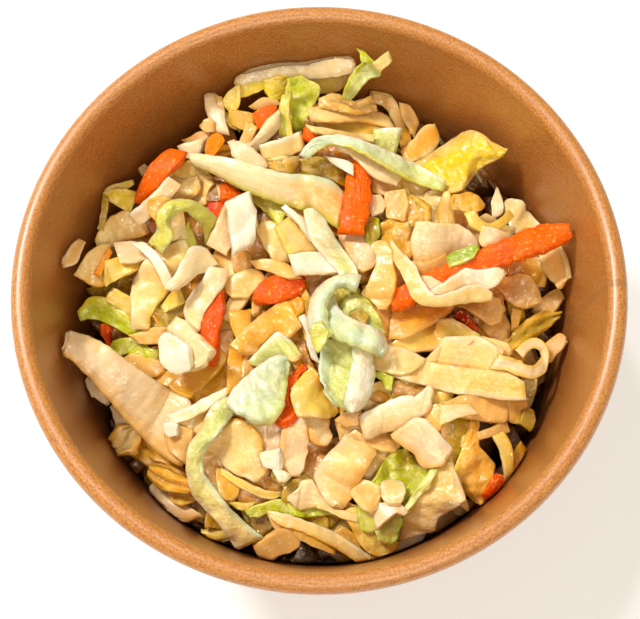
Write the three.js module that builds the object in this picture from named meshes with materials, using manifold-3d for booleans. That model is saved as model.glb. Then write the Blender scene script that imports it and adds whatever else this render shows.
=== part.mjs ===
// A round paper cup with a rolled rim, filled with a heap of pickled cabbage and carrot shreds.
// Millimetres, +Z up. The origin is the centre of the ring that the cup stands on.
import * as THREE from "three";
import { mergeVertices } from "three/addons/utils/BufferGeometryUtils.js";
import Module from "manifold-3d";

// ---- Driving dimensions of the cup, mm ----
const RIM_DIAMETER = 115;
const CUP_HEIGHT = 62;
const FOOT_DIAMETER = 90;
const CURL_DIAMETER = 3.9;
const PAPER = 0.5;
const GAP = 0.3; // between neighbouring pieces of paper
const HEM_HEIGHT = 6; // the wall's foot, folded up inside the base's skirt
const BASE_HEIGHT = 7.1; // top of the base disc
const CURL_OPENING_DEG = 45; // part of the curl's circle that is left open under the rim
const ROUND_STEPS = 60;
const CURL_STEPS = 7;

// ---- Driving dimensions of the heap, mm ----
const CROWN_HEIGHT = 42; // middle of the heap, without the pieces on top
const BACK_RISE = 0.12; // the heap climbs towards the back wall, mm per mm
const RIGHT_RISE = 0.02;
const SHOULDER_DROP = 7;
const SHOULDER_RADIUS = 48;
const SHOULDER_POWER = 2.5;
const CORE_RISE = 0.9; // core over the heap's surface, so that the shreds are bedded in it
const MOAT_INNER = 43; // the core falls away in a moat along the wall
const MOAT_OUTER = 48;
const MOAT_DEPTH = 11;
const CORE_SIDE_HEIGHT = 18;
const CORE_CLEARANCE = 1.2; // core to wall
const FOOD_CLEARANCE = 0.5; // shreds to wall
const FLOOR_CLEARANCE = 0.5; // core to base disc
const CORE_TURNS = 32;
const CORE_RINGS = [0.96, 0.9, 0.7, 0.45, 0.2]; // shares of the core's radius

// ---- Making and spreading the shreds, mm ----
const SHRED_STEP = 8; // length of one segment of a shred
const WAVE_LENGTH = 9; // of a crinkled leaf
const WAVE_SLANT = 0.6; // the crinkles run at a slant across the leaf
const WAVE_TURN = 3; // and their phase turns by this much, in radians, from edge to edge
const LAYER = 0.8; // thickness of one layer of shreds
const MOST_LEAN = 14; // how far over the heap a shred can lean on the wall
const FILLER_TIERS = [
  { count: 28, reach: 46, low: 0.6, high: 1.8, shortest: 10, longest: 16 },
  { count: 8, reach: 30, low: 1.8, high: 3, shortest: 8, longest: 13 },
];
const FILLER_WIDTH = [2, 4.5];
const FILLER_THICKNESS = [1.2, 2.2];
const FILLER_ROLL = [-25, 25];
const FILLER_SEED = 20;

// ---- The view in which the shreds were placed ----
// A shred's points are [px across, px down, layers above the heap]: where a picture, 640 by 619, shows it.
const PICTURE_CENTRE = [320, 309.5];
const FOCAL_PX = 1395.4;
const VIEW_ELEVATION_DEG = 71.51;
const EYE_DISTANCE = 4.5 * (RIM_DIAMETER / 2); // from the middle of the rim
const EYE_SIDE = 0.16;
const AIM = [EYE_SIDE, -5.93, CUP_HEIGHT];
const RAY_STEP = 0.2; // mm of height

const wasm = await Module();
wasm.setup();

// ---- Solids ----
function toSolid(geometry) {
  const bare = geometry.clone();
  bare.deleteAttribute("normal");
  bare.deleteAttribute("uv");
  const merged = mergeVertices(bare, 1e-4);
  return new wasm.Manifold(
    new wasm.Mesh({
      numProp: 3,
      vertProperties: new Float32Array(merged.attributes.position.array),
      triVerts: new Uint32Array(merged.index.array),
    }),
  );
}

function toGeometry(solid) {
  const mesh = solid.getMesh();
  const places = new Float32Array(mesh.numVert * 3);
  for (let i = 0; i < mesh.numVert; i++) {
    const from = i * mesh.numProp;
    places.set(mesh.vertProperties.subarray(from, from + 3), i * 3);
  }
  const geometry = new THREE.BufferGeometry();
  geometry.setAttribute("position", new THREE.BufferAttribute(places, 3));
  geometry.setIndex(new THREE.BufferAttribute(new Uint32Array(mesh.triVerts), 1));
  geometry.computeVertexNormals();
  return geometry;
}

function surface(places, triangles) {
  const geometry = new THREE.BufferGeometry();
  geometry.setAttribute("position", new THREE.Float32BufferAttribute(places, 3));
  geometry.setIndex(triangles);
  return geometry;
}

// Turns an outline of [radius, height] points round the Z axis.
function turned(outline) {
  const points = outline.map(([radius, height]) => new THREE.Vector2(radius, height));
  const geometry = new THREE.LatheGeometry(points, ROUND_STEPS);
  geometry.rotateX(Math.PI / 2);
  return geometry;
}

// ---- The cup ----
const rimRadius = RIM_DIAMETER / 2;
const footRadius = FOOT_DIAMETER / 2;
const curlRadius = CURL_DIAMETER / 2;
const curlCentre = [rimRadius - curlRadius, CUP_HEIGHT - curlRadius];
const wallTopRadius = rimRadius - CURL_DIAMETER;
const wallSlope = (wallTopRadius - (footRadius - PAPER)) / curlCentre[1];

// Radius of the wall's inner face at a height.
function wallInside(height) {
  return footRadius - PAPER + wallSlope * height;
}

function curlArc(radius, fromDeg, toDeg) {
  const points = [];
  for (let i = 0; i <= CURL_STEPS; i++) {
    const angle = THREE.MathUtils.degToRad(fromDeg + ((toDeg - fromDeg) * i) / CURL_STEPS);
    points.push([
      curlCentre[0] + radius * Math.cos(angle),
      curlCentre[1] + radius * Math.sin(angle),
    ]);
  }
  return points;
}

// The wall rises from the foot, rolls outwards into the rim, and is folded up inside at the foot.
function cupWall() {
  const curlEndDeg = CURL_OPENING_DEG - 180;
  const grooveWidth = PAPER + 2 * GAP;
  const hemOuter = (height) => wallInside(height) - grooveWidth;
  const hemInner = (height) => hemOuter(height) - PAPER;
  const foot = [footRadius, 0];
  return turned([
    foot,
    ...curlArc(curlRadius - PAPER, 180, curlEndDeg),
    ...curlArc(curlRadius, curlEndDeg, 180),
    [wallInside(PAPER), PAPER],
    [hemOuter(PAPER), PAPER],
    [hemOuter(HEM_HEIGHT), HEM_HEIGHT],
    [hemInner(HEM_HEIGHT), HEM_HEIGHT],
    [hemInner(0), 0],
    foot,
  ]);
}

// The base is a disc with a skirt that hangs in the groove of the folded foot.
function cupBase() {
  const skirtOuter = (height) => wallInside(height) - GAP;
  const skirtInner = (height) => skirtOuter(height) - PAPER;
  const underside = BASE_HEIGHT - PAPER;
  const skirtFoot = PAPER + GAP;
  return turned([
    [0, underside],
    [skirtInner(underside), underside],
    [skirtInner(skirtFoot), skirtFoot],
    [skirtOuter(skirtFoot), skirtFoot],
    [skirtOuter(BASE_HEIGHT), BASE_HEIGHT],
    [0, BASE_HEIGHT],
  ]);
}

// ---- The heap's surface ----
function heapTop(x, y) {
  const rho = Math.hypot(x, y) / SHOULDER_RADIUS;
  const lumps = 0.9 * Math.sin(x / 5.1 + 1) * Math.cos(y / 6.3) + 0.5 * Math.sin(x / 3.4 - y / 4.2);
  const slope = BACK_RISE * y + RIGHT_RISE * x;
  return CROWN_HEIGHT + slope - SHOULDER_DROP * rho ** SHOULDER_POWER + lumps;
}

function coreTop(x, y) {
  const moat = THREE.MathUtils.smoothstep(Math.hypot(x, y), MOAT_INNER, MOAT_OUTER);
  return heapTop(x, y) + CORE_RISE - MOAT_DEPTH * moat;
}

// The core fills the cup and follows the heap's surface, on rings of vertices.
function heapCore() {
  const floor = BASE_HEIGHT + FLOOR_CLEARANCE;
  const rings = [];
  for (const height of [floor, CORE_SIDE_HEIGHT]) {
    rings.push(() => [wallInside(height) - CORE_CLEARANCE, height]);
  }
  const edge = wallInside(CORE_SIDE_HEIGHT) - CORE_CLEARANCE;
  for (const share of CORE_RINGS) {
    rings.push((angle) => {
      const radius = edge * share;
      return [radius, coreTop(radius * Math.cos(angle), radius * Math.sin(angle))];
    });
  }
  const places = [0, 0, floor];
  for (const ring of rings) {
    for (let i = 0; i < CORE_TURNS; i++) {
      const angle = (2 * Math.PI * i) / CORE_TURNS;
      const [radius, height] = ring(angle);
      places.push(radius * Math.cos(angle), radius * Math.sin(angle), height);
    }
  }
  places.push(0, 0, coreTop(0, 0));
  const last = places.length / 3 - 1;
  const triangles = [];
  for (let i = 0; i < CORE_TURNS; i++) {
    const next = (i + 1) % CORE_TURNS;
    triangles.push(0, 1 + next, 1 + i);
    for (let k = 0; k + 1 < rings.length; k++) {
      const low = 1 + k * CORE_TURNS;
      const high = low + CORE_TURNS;
      triangles.push(low + i, low + next, high + next);
      triangles.push(low + i, high + next, high + i);
    }
    const top = 1 + (rings.length - 1) * CORE_TURNS;
    triangles.push(top + i, top + next, last);
  }
  return toSolid(surface(places, triangles));
}

// ---- Placing the shreds ----
const UP = new THREE.Vector3(0, 0, 1);
const elevation = THREE.MathUtils.degToRad(VIEW_ELEVATION_DEG);
const eye = new THREE.Vector3(
  EYE_SIDE,
  -EYE_DISTANCE * Math.cos(elevation),
  CUP_HEIGHT + EYE_DISTANCE * Math.sin(elevation),
);
const forward = new THREE.Vector3(...AIM).sub(eye).normalize();
const rightwards = new THREE.Vector3(1, 0, 0);
const upwards = new THREE.Vector3().crossVectors(rightwards, forward);

// The place where the line of sight through a picture point comes to rest:
// at the given layer over the heap, or else leaning on the cup's wall.
function seen([across, down, layers]) {
  const ray = forward.clone();
  ray.addScaledVector(rightwards, (across - PICTURE_CENTRE[0]) / FOCAL_PX);
  ray.addScaledVector(upwards, (PICTURE_CENTRE[1] - down) / FOCAL_PX);
  const place = new THREE.Vector3();
  let entered = false;
  for (let z = CUP_HEIGHT; z > BASE_HEIGHT; z -= RAY_STEP) {
    place.copy(eye).addScaledVector(ray, (z - eye.z) / ray.z);
    const overHeap = z - heapTop(place.x, place.y);
    const inside = Math.hypot(place.x, place.y) < wallInside(z) - FOOD_CLEARANCE;
    const onWall = entered && !inside && overHeap < MOST_LEAN;
    if (overHeap <= layers * LAYER || onWall) {
      break;
    }
    entered = entered || inside;
  }
  return heldIn(place);
}

// Keeps a vertex inside the cup.
function heldIn(place) {
  const radius = Math.hypot(place.x, place.y);
  const most = wallInside(place.z) - FOOD_CLEARANCE;
  if (radius > most) {
    place.x *= most / radius;
    place.y *= most / radius;
  }
  place.z = Math.max(place.z, BASE_HEIGHT + FLOOR_CLEARANCE);
  return place;
}

// Value at share t of a list that is spread evenly from 0 to 1.
function spread(list, t) {
  if (!Array.isArray(list)) {
    return list;
  }
  const place = t * (list.length - 1);
  const low = Math.min(Math.floor(place), list.length - 2);
  return THREE.MathUtils.lerp(list[low], list[low + 1], place - low);
}

// A shred: a band with a rectangular section along a smooth line. width can be a list along it,
// roll turns it about its line, and wave crinkles a leaf of several columns.
function shred({ line, width, thick, roll = 0, wave = 0, columns = 1, steps }) {
  const curve = new THREE.CatmullRomCurve3(line, false, "centripetal");
  const length = curve.getLength();
  const rows = steps ?? Math.max(line.length - 1, Math.round(length / SHRED_STEP));
  const places = [];
  const side = new THREE.Vector3();
  const face = new THREE.Vector3();
  for (let i = 0; i <= rows; i++) {
    const t = i / rows;
    const centre = curve.getPointAt(t);
    const along = curve.getTangentAt(t);
    side.crossVectors(along, UP).normalize();
    side.applyAxisAngle(along, THREE.MathUtils.degToRad(spread(roll, t)));
    face.crossVectors(side, along);
    for (const under of [1, -1]) {
      for (let j = 0; j <= columns; j++) {
        const share = j / columns - 0.5;
        const across = share * spread(width, t);
        const phase = (2 * Math.PI * (t * length + WAVE_SLANT * across)) / WAVE_LENGTH;
        const lift = wave * Math.sin(phase + WAVE_TURN * share) + (under * thick) / 2;
        const place = centre.clone().addScaledVector(side, across).addScaledVector(face, lift);
        places.push(...heldIn(place).toArray());
      }
    }
  }
  const row = 2 * (columns + 1);
  const triangles = [];
  const quad = (a, b, c, d) => triangles.push(a, b, c, a, c, d);
  for (let i = 0; i < rows; i++) {
    const now = i * row;
    const next = now + row;
    const under = columns + 1;
    for (let j = 0; j < columns; j++) {
      quad(now + j, now + j + 1, next + j + 1, next + j);
      quad(now + under + j, next + under + j, next + under + j + 1, now + under + j + 1);
    }
    quad(now, next, next + under, now + under);
    quad(now + columns, now + under + columns, next + under + columns, next + columns);
  }
  for (const [start, flip] of [[0, false], [rows * row, true]]) {
    for (let j = 0; j < columns; j++) {
      const corners = [start + j, start + columns + 1 + j, start + columns + 2 + j, start + j + 1];
      quad(...(flip ? corners.reverse() : corners));
    }
  }
  return toSolid(surface(places, triangles));
}


// ---- The shreds that show ----
// Carrot sticks and bits.
const CARROTS = [
  {
    line: [[395, 302, 4], [480, 267, 5], [535, 243, 6], [568, 229, 6]],
    width: [4.4, 4.8, 4.4, 2], thick: 3.4,
  },
  { line: [[353, 232, 4.5], [356, 196, 5.5], [361, 160, 6]], width: [5, 4.6, 3.4], thick: 3 },
  {
    line: [[182, 151, 3], [165, 165, 4], [150, 181, 3.5], [135, 210, 2]],
    width: [1.6, 2.8, 2.8, 1.4], thick: 2.4,
  },
  { line: [[217, 300, 2], [212, 332, 3.5], [213, 365, 3.5]], width: [3, 3.6, 1.4], thick: 2.8 },
  { line: [[253, 301, 2.5], [278, 287, 3.5], [306, 281, 2.5]], width: [2.4, 4.8, 2.6], thick: 2.6 },
  {
    line: [[306, 366, 3], [290, 386, 3], [286, 404, 3], [286, 423, 2.5]],
    width: [3, 2.2, 2.4, 3.8], thick: 2.2,
  },
  { line: [[254, 115, 2.5], [274, 114, 2.5]], width: 4, thick: 3 },
  { line: [[211, 134, 3], [214, 155, 2]], width: [2.6, 2], thick: 2.2 },
  { line: [[226, 183, 2.5], [238, 198, 2]], width: 3, thick: 2.4 },
  { line: [[303, 130, 2], [314, 138, 2]], width: 2.4, thick: 2.4 },
  { line: [[104, 324, 3], [111, 346, 2.5]], width: 2.4, thick: 2.4 },
  { line: [[487, 486, 2], [506, 482, 2]], width: 4.6, thick: 3.2 },
  { line: [[459, 311, 1.5], [475, 333, 1.5]], width: 1.8, thick: 2 },
];

// Thick pieces of the cabbage's ribs.
const RIBS = [
  {
    line: [[192, 156, 3], [240, 171, 4], [295, 188, 4.5], [342, 214, 3]],
    width: [1.6, 5.6, 7.5, 6], thick: 2.4,
  },
  { line: [[236, 85, 2], [252, 75, 3], [300, 72, 3], [352, 66, 2]], width: [2, 3.4, 3.8, 2.8], thick: 2.6 },
  {
    line: [[64, 346, 3], [105, 372, 4], [150, 410, 4], [182, 437, 2.5]],
    width: [2.6, 6.5, 9, 8], thick: 2.8,
  },
  { line: [[175, 425, 1.5], [215, 443, 2.5], [262, 462, 1.5]], width: [5, 9, 6], thick: 2.4 },
  { line: [[292, 262, 6], [344, 266, 6]], width: [3.4, 3.6], thick: 2.2 },
  { line: [[265, 226, 3.5], [275, 243, 4], [286, 262, 3]], width: [3, 3.6, 2.6], thick: 1.8 },
  { line: [[285, 222, 3], [300, 240, 4], [316, 254, 4]], width: [2.4, 3.8, 2.6], thick: 1.8 },
  { line: [[283, 208, 5], [297, 220, 6], [311, 240, 5.5]], width: [1.2, 1.9, 1.4], thick: 1.4 },
  { line: [[348, 238, 4.5], [366, 266, 4.5]], width: [6, 4.6], thick: 3 },
  { line: [[368, 302, 4.5], [382, 275, 5.5]], width: [6, 2.4], thick: 1.8 },
  { line: [[414, 240, 3], [446, 241, 4], [479, 246, 3]], width: [5.6, 7.4, 3.6], thick: 3.6 },
  { line: [[444, 282, 6], [470, 273, 6.5], [501, 270, 6]], width: [1.6, 3.4, 2.6], thick: 1.4 },
  { line: [[422, 276, 6], [446, 286, 6]], width: [1.4, 2.4], thick: 1.4 },
  { line: [[499, 285, 3], [518, 292, 3.5], [538, 299, 3]], width: [4.4, 6.4, 3], thick: 1.6 },
  { line: [[514, 254, 1], [544, 257, 2], [566, 279, 3]], width: [3, 4.8, 5.4], thick: 1.4 },
  { line: [[498, 188, 2], [499, 204, 2], [496, 219, 2]], width: [1, 1.8, 1.2], thick: 1.2 },
  { line: [[508, 206, 2], [522, 218, 3], [530, 230, 3]], width: [4, 5.5, 4], thick: 1.6 },
  { line: [[480, 232, 3], [505, 246, 3]], width: [4.4, 3], thick: 2 },
  {
    line: [[390, 368, 4.5], [440, 377, 5.5], [490, 383, 5.5], [524, 392, 4.5]],
    width: [3, 4.8, 5.4, 3.4], thick: 1.8,
  },
  { line: [[373, 358, 5.5], [398, 360, 6.5], [422, 362, 6]], width: [4.8, 5.4, 2.4], thick: 1.8 },
  { line: [[428, 352, 4.5], [462, 354, 5.5], [501, 354, 4.5]], width: [3, 6.4, 4], thick: 2 },
  { line: [[526, 372, 1], [550, 355, 3], [567, 336, 4]], width: 2, thick: 1.8 },
  { line: [[510, 356, 2.5], [530, 335, 3.5], [555, 314, 3]], width: [2.6, 3.4, 2], thick: 2.6 },
  { line: [[363, 429, 5.5], [397, 413, 6.5], [432, 397, 6]], width: [4, 4.2, 2.8], thick: 2.8 },
  { line: [[404, 428, 4.5], [424, 443, 5], [440, 456, 4.5]], width: [4.6, 5.6, 5], thick: 2.6 },
  { line: [[360, 448, 3.5], [340, 472, 4.5], [330, 499, 3.5]], width: [5.5, 8, 5.5], thick: 2.8 },
  { line: [[299, 418, 3.5], [293, 446, 4.5], [284, 475, 3.5]], width: [3, 5.6, 5.4], thick: 2.8 },
  { line: [[310, 418, 3.5], [322, 443, 4.5]], width: 3.4, thick: 2.4 },
  { line: [[437, 525, 1.5], [462, 526, 1.5]], width: 4.6, thick: 2.6 },
  { line: [[258, 549, 1.5], [297, 532, 2.5]], width: 4.6, thick: 3 },
  { line: [[289, 498, 3], [330, 497, 3]], width: [2.6, 5], thick: 2 },
  { line: [[236, 307, 2.5], [246, 342, 2.5]], width: 2.8, thick: 2.6 },
  { line: [[240, 340, 3.5], [229, 368, 4], [229, 396, 3]], width: [2.8, 3.2, 2], thick: 2.4 },
  { line: [[170, 327, 5], [180, 348, 6], [179, 371, 5]], width: [4.4, 8, 5.6], thick: 4 },
  { line: [[229, 262, 5], [207, 298, 5.5], [191, 331, 4.5]], width: [3, 3.4, 2.4], thick: 2.4 },
  { line: [[137, 312, 3], [160, 280, 4], [183, 250, 3.5]], width: [4.6, 5.6, 5], thick: 1.8 },
  { line: [[134, 218, 3], [155, 203, 4], [175, 186, 3.5]], width: [1.6, 2.2, 1.6], thick: 2 },
  { line: [[238, 199, 3.5], [242, 224, 4.5], [240, 251, 4]], width: [3.6, 5.6, 3.6], thick: 3 },
  { line: [[222, 210, 2.5], [213, 244, 2.5]], width: 4, thick: 2 },
  { line: [[128, 358, 2.5], [163, 370, 3]], width: 3.4, thick: 2 },
  { line: [[153, 379, 3.5], [192, 369, 4]], width: [3, 3.6], thick: 1.8 },
  { line: [[170, 421, 6], [200, 404, 6], [232, 388, 4.5]], width: 1.7, thick: 1.6 },
  { line: [[110, 440, 2], [142, 447, 3.5]], width: [5, 6], thick: 2.6 },
  { line: [[142, 447, 2.5], [190, 470, 2.5]], width: [6, 3], thick: 2 },
  { line: [[152, 474, 2.5], [194, 492, 2.5]], width: [4, 4.6], thick: 2.6 },
  { line: [[151, 489, 1.5], [170, 508, 2.5], [196, 516, 1.5]], width: [1.8, 3.2, 1.8], thick: 2.4 },
  { line: [[204, 532, 1.5], [231, 535, 2]], width: 2.4, thick: 2 },
  { line: [[258, 153, 3.5], [303, 142, 3.5]], width: 2.8, thick: 2.4 },
  { line: [[278, 119, 3.5], [258, 133, 3.5], [240, 148, 2.5]], width: 1.5, thick: 1.4 },
  { line: [[234, 140, 3], [264, 166, 3]], width: 1.8, thick: 1.8 },
  { line: [[138, 167, 1], [160, 182, 1]], width: 1.6, thick: 1.6 },
  { line: [[209, 97, 1.5], [222, 133, 2], [230, 152, 1]], width: 1.5, thick: 1.5 },
  { line: [[376, 91, 2.5], [402, 131, 2.5]], width: 2.2, thick: 1.6 },
  { line: [[402, 158, 3.5], [436, 131, 3]], width: [3, 2.4], thick: 2.6 },
  { line: [[384, 130, 4], [384, 152, 4]], width: [4, 4.6], thick: 1.8 },
];

// Thin ribbons.
const RIBBONS = [
  {
    line: [
      [376, 243, 6.5], [391, 244, 7], [405, 262, 7], [414, 288, 7],
      [434, 301, 7], [463, 293, 7], [490, 296, 6],
    ],
    width: [1.6, 2, 2.2, 2.4, 2.4, 2.8, 1], thick: 1.3, steps: 10,
  },
  {
    line: [
      [115, 246, 3], [138, 247, 4], [154, 262, 4], [168, 286, 3],
      [182, 274, 3.5], [196, 254, 4], [214, 262, 4],
    ],
    width: [2, 1.6, 1.4, 1.8, 2.6, 2.8, 1.6], thick: 1.2, steps: 10,
  },
  {
    line: [
      [492, 361, 3.5], [522, 374, 4], [541, 372, 5], [548, 356, 6],
      [538, 342, 6.5], [524, 347, 6], [520, 358, 5],
    ],
    width: 1.6, thick: 1.2, roll: [0, 20, 50, 60, 60, 60, 60], steps: 12,
  },
  {
    line: [[303, 157, 5], [316, 142, 5.5], [332, 137, 6], [352, 143, 6], [400, 160, 6], [444, 184, 4]],
    width: [1.4, 2, 2.4, 3, 3.2, 1.6], thick: 1.3, steps: 9,
  },
  {
    line: [[336, 144, 7], [358, 155, 7.5], [380, 168, 7], [400, 179, 5.5]],
    width: [1.2, 2, 2, 1.4], thick: 1.3,
  },
  { line: [[308, 127, 4], [342, 133, 5], [375, 136, 4]], width: 1.6, thick: 1.2 },
  { line: [[495, 436, 3.5], [506, 458, 4], [510, 481, 3]], width: 1.8, thick: 1.5 },
  { line: [[476, 441, 4], [507, 426, 4]], width: 1.7, thick: 1.5 },
  { line: [[440, 411, 4], [477, 409, 4]], width: 2, thick: 1.6 },
  { line: [[454, 511, 2.5], [482, 516, 3], [498, 507, 3]], width: [1.8, 2, 0.8], thick: 1.3 },
  { line: [[269, 514, 2.5], [320, 540, 3], [368, 561, 2.5]], width: [2, 2.2, 1.6], thick: 1.6 },
  { line: [[296, 530, 1.5], [358, 556, 2]], width: 1.8, thick: 1.4 },
  {
    line: [[248, 512, 3], [275, 506, 4], [308, 513, 4], [338, 509, 3]],
    width: [1.4, 1.8, 1.8, 1.2], thick: 1.2,
  },
  {
    line: [[160, 240, 4], [160, 216, 5], [178, 204, 5.5], [200, 211, 5], [218, 221, 4]],
    width: 2.3, thick: 1.2,
  },
  { line: [[112, 350, 3.5], [127, 338, 4.5], [160, 356, 3.5]], width: 2.2, thick: 1.4 },
  { line: [[284, 100, 3], [290, 118, 3.5], [280, 136, 3]], width: 1.6, thick: 1.2 },
  { line: [[480, 223, 4], [497, 225, 4.5], [512, 213, 4]], width: 1.8, thick: 1.4 },
];

// Wide wavy leaves and sheets.
const LEAVES = [
  {
    line: [[308, 211, 6], [330, 242, 7], [349, 268, 7]],
    width: [3, 5.2, 5], thick: 1.2, wave: 0.3, columns: 2,
  },
  {
    line: [[338, 284, 5.5], [341, 320, 6], [346, 360, 6], [350, 408, 4.5]],
    width: [8, 9.5, 11, 8.5], thick: 1.2, wave: 0.8, columns: 3,
  },
  {
    line: [[350, 300, 4.5], [372, 330, 5], [380, 352, 5]],
    width: [3, 5, 3], thick: 1.2, wave: 0.5, columns: 2,
  },
  {
    line: [[286, 362, 6], [266, 388, 7], [240, 406, 6.5], [212, 430, 5]],
    width: [5, 10, 8, 3], thick: 1.2, wave: 0.6, columns: 3,
  },
  {
    line: [[216, 422, 5.5], [197, 448, 5], [194, 478, 4.5], [210, 507, 4], [230, 530, 4], [246, 542, 3]],
    width: [3.4, 2.6, 2.4, 2.8, 2.8, 4.6], thick: 1.2, wave: 0.3, columns: 2,
  },
  { line: [[258, 362, 5], [289, 344, 5.5]], width: [3.6, 6], thick: 1.6, columns: 2 },
  {
    line: [[240, 343, 2.5], [266, 322, 4], [293, 306, 3]],
    width: [5, 8, 5.5], thick: 1.8, wave: 0.6, columns: 3,
  },
  {
    line: [[84, 268, 2], [105, 243, 3], [128, 222, 3], [150, 224, 2]],
    width: [5, 6.5, 5, 3], thick: 1.6, wave: 0.5, columns: 2,
  },
  {
    line: [[81, 311, 2], [110, 310, 3], [148, 331, 2.5]],
    width: [3, 4.2, 2.4], thick: 1.4, wave: 0.5, columns: 2,
  },
  { line: [[166, 186, 3], [210, 188, 3]], width: 5, thick: 1.4, wave: 0.7, columns: 2 },
  {
    line: [[293, 76, 2.5], [303, 102, 3], [300, 134, 2.5]],
    width: [4, 5.5, 3.4], thick: 1.4, wave: 0.7, columns: 2,
  },
  { line: [[265, 112, 0.5], [284, 82, 2]], width: 4, thick: 1.4, wave: 0.5, columns: 2 },
  {
    line: [[310, 114, 3], [352, 113, 4.5], [394, 118, 3]],
    width: [4, 7, 4.5], thick: 3, wave: 0.5, columns: 3,
  },
  {
    line: [[343, 112, 1], [352, 84, 3], [370, 64, 4]],
    width: [1.6, 3.2, 5], thick: 1.2, wave: 0.3, columns: 2,
  },
  { line: [[266, 163, 3], [300, 165, 3]], width: 3.6, thick: 2, wave: 0.4, columns: 2 },
  {
    line: [[424, 190, 3], [452, 165, 4], [478, 152, 4.5], [503, 152, 4]],
    width: [8, 10.5, 7, 2], thick: 1.3, wave: 0.7, columns: 3,
  },
  { line: [[408, 205, 2.5], [436, 215, 3]], width: 5, thick: 1.8, wave: 0.6, columns: 2 },
  { line: [[446, 194, 3.5], [484, 207, 3.5]], width: [5, 3], thick: 1.6, wave: 0.6, columns: 2 },
  {
    line: [[450, 468, 2.5], [431, 503, 3.5], [408, 533, 2.5]],
    width: [4.5, 9.5, 7], thick: 1.3, columns: 2,
  },
  {
    line: [[469, 450, 3.5], [474, 476, 4.5], [487, 505, 3.5]],
    width: [3.4, 7, 1.6], thick: 1.4, wave: 0.4, columns: 2,
  },
  { line: [[454, 409, 2.5], [504, 411, 2.5]], width: [3, 5], thick: 1.4, columns: 2 },
  { line: [[506, 412, 2], [532, 419, 2]], width: 4.8, thick: 1.4, columns: 2 },
  {
    line: [[343, 519, 3], [366, 545, 3.5], [404, 553, 3]],
    width: [3, 5, 3], thick: 1.6, wave: 0.4, columns: 2,
  },
  {
    line: [[392, 452, 3.5], [413, 478, 4], [400, 505, 3]],
    width: [6, 6, 4], thick: 1.4, wave: 0.7, columns: 3,
  },
  { line: [[364, 510, 3], [376, 538, 3.5]], width: [3.6, 5], thick: 1.4, wave: 0.5, columns: 2 },
  { line: [[358, 496, 5], [380, 501, 5]], width: 5, thick: 1.6, columns: 1 },
  { line: [[393, 483, 5.5], [386, 524, 5]], width: [4.8, 2.4], thick: 1.4, columns: 1 },
  { line: [[104, 196, 1.5], [146, 204, 2]], width: [2, 3.6], thick: 1.6, wave: 0.4, columns: 2 },
];

// Shreds that lie between them, drawn with a fixed seed: a tier on the core, then one over it.
const GOLDEN_ANGLE = Math.PI * (3 - Math.sqrt(5)); // spreads each tier evenly
const GENERATOR = { factor: 1664525, step: 1013904223, range: 2 ** 32 };
function fillers() {
  let state = FILLER_SEED;
  const draw = (low, high) => {
    state = (state * GENERATOR.factor + GENERATOR.step) % GENERATOR.range;
    return low + ((high - low) * state) / GENERATOR.range;
  };
  const shreds = [];
  for (const { count, reach, low, high, shortest, longest } of FILLER_TIERS) {
    for (let i = 0; i < count; i++) {
      const angle = i * GOLDEN_ANGLE;
      const radius = reach * Math.sqrt((i + 0.5) / count);
      const middle = new THREE.Vector3(radius * Math.cos(angle), radius * Math.sin(angle), 0);
      const heading = draw(0, Math.PI);
      const half = new THREE.Vector3(Math.cos(heading), Math.sin(heading), 0);
      half.multiplyScalar(draw(shortest, longest) / 2);
      const line = [middle.clone().sub(half), middle, middle.clone().add(half)];
      for (const place of line) {
        place.z = heapTop(place.x, place.y) + draw(low, high);
        heldIn(place);
      }
      const width = draw(...FILLER_WIDTH);
      const thick = draw(...FILLER_THICKNESS);
      shreds.push(shred({ line, width, thick, roll: draw(...FILLER_ROLL), steps: line.length - 1 }));
    }
  }
  return shreds;
}

// The heap is one body: the core with every shred joined to it. The largest body is kept,
// which fills the voids that joining seals.
function pickledVegetables() {
  const placed = [...RIBS, ...LEAVES, ...RIBBONS, ...CARROTS].map((one) =>
    shred({ ...one, line: one.line.map(seen) }),
  );
  let heap = heapCore();
  for (const one of [...fillers(), ...placed]) {
    heap = heap.add(one);
  }
  const bodies = heap.decompose();
  bodies.sort((a, b) => b.volume() - a.volume());
  return toGeometry(bodies[0]);
}

// ---- The scene graph ----
const KRAFT = { color: 0xb57a45, roughness: 0.55, metalness: 0 };
const SLAW = { color: 0xe8cf86, roughness: 0.35, metalness: 0 };

function part(name, geometry, finish) {
  const mesh = new THREE.Mesh(geometry, new THREE.MeshStandardMaterial(finish));
  mesh.name = name;
  return mesh;
}

const cup = new THREE.Group();
cup.name = "cup";
cup.add(part("cup_wall", cupWall(), KRAFT), part("cup_base", cupBase(), KRAFT));

const filledCup = new THREE.Group();
filledCup.add(cup, part("pickled_vegetables", pickledVegetables(), SLAW));

export default filledCup;
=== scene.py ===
"""A kraft paper cup of pickled cabbage and carrot, dressed round its CAD part.

Lengths are in millimetres until a mesh is made, and in metres from there on. The points of a shred are
(px across, px down), in the frame of a picture of 640 by 619 taken by this scene's camera. Each point
is followed down its line of sight to the pile of shreds laid so far.
"""
import math

import bpy
import numpy as np
from mathutils import Matrix, Vector


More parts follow.
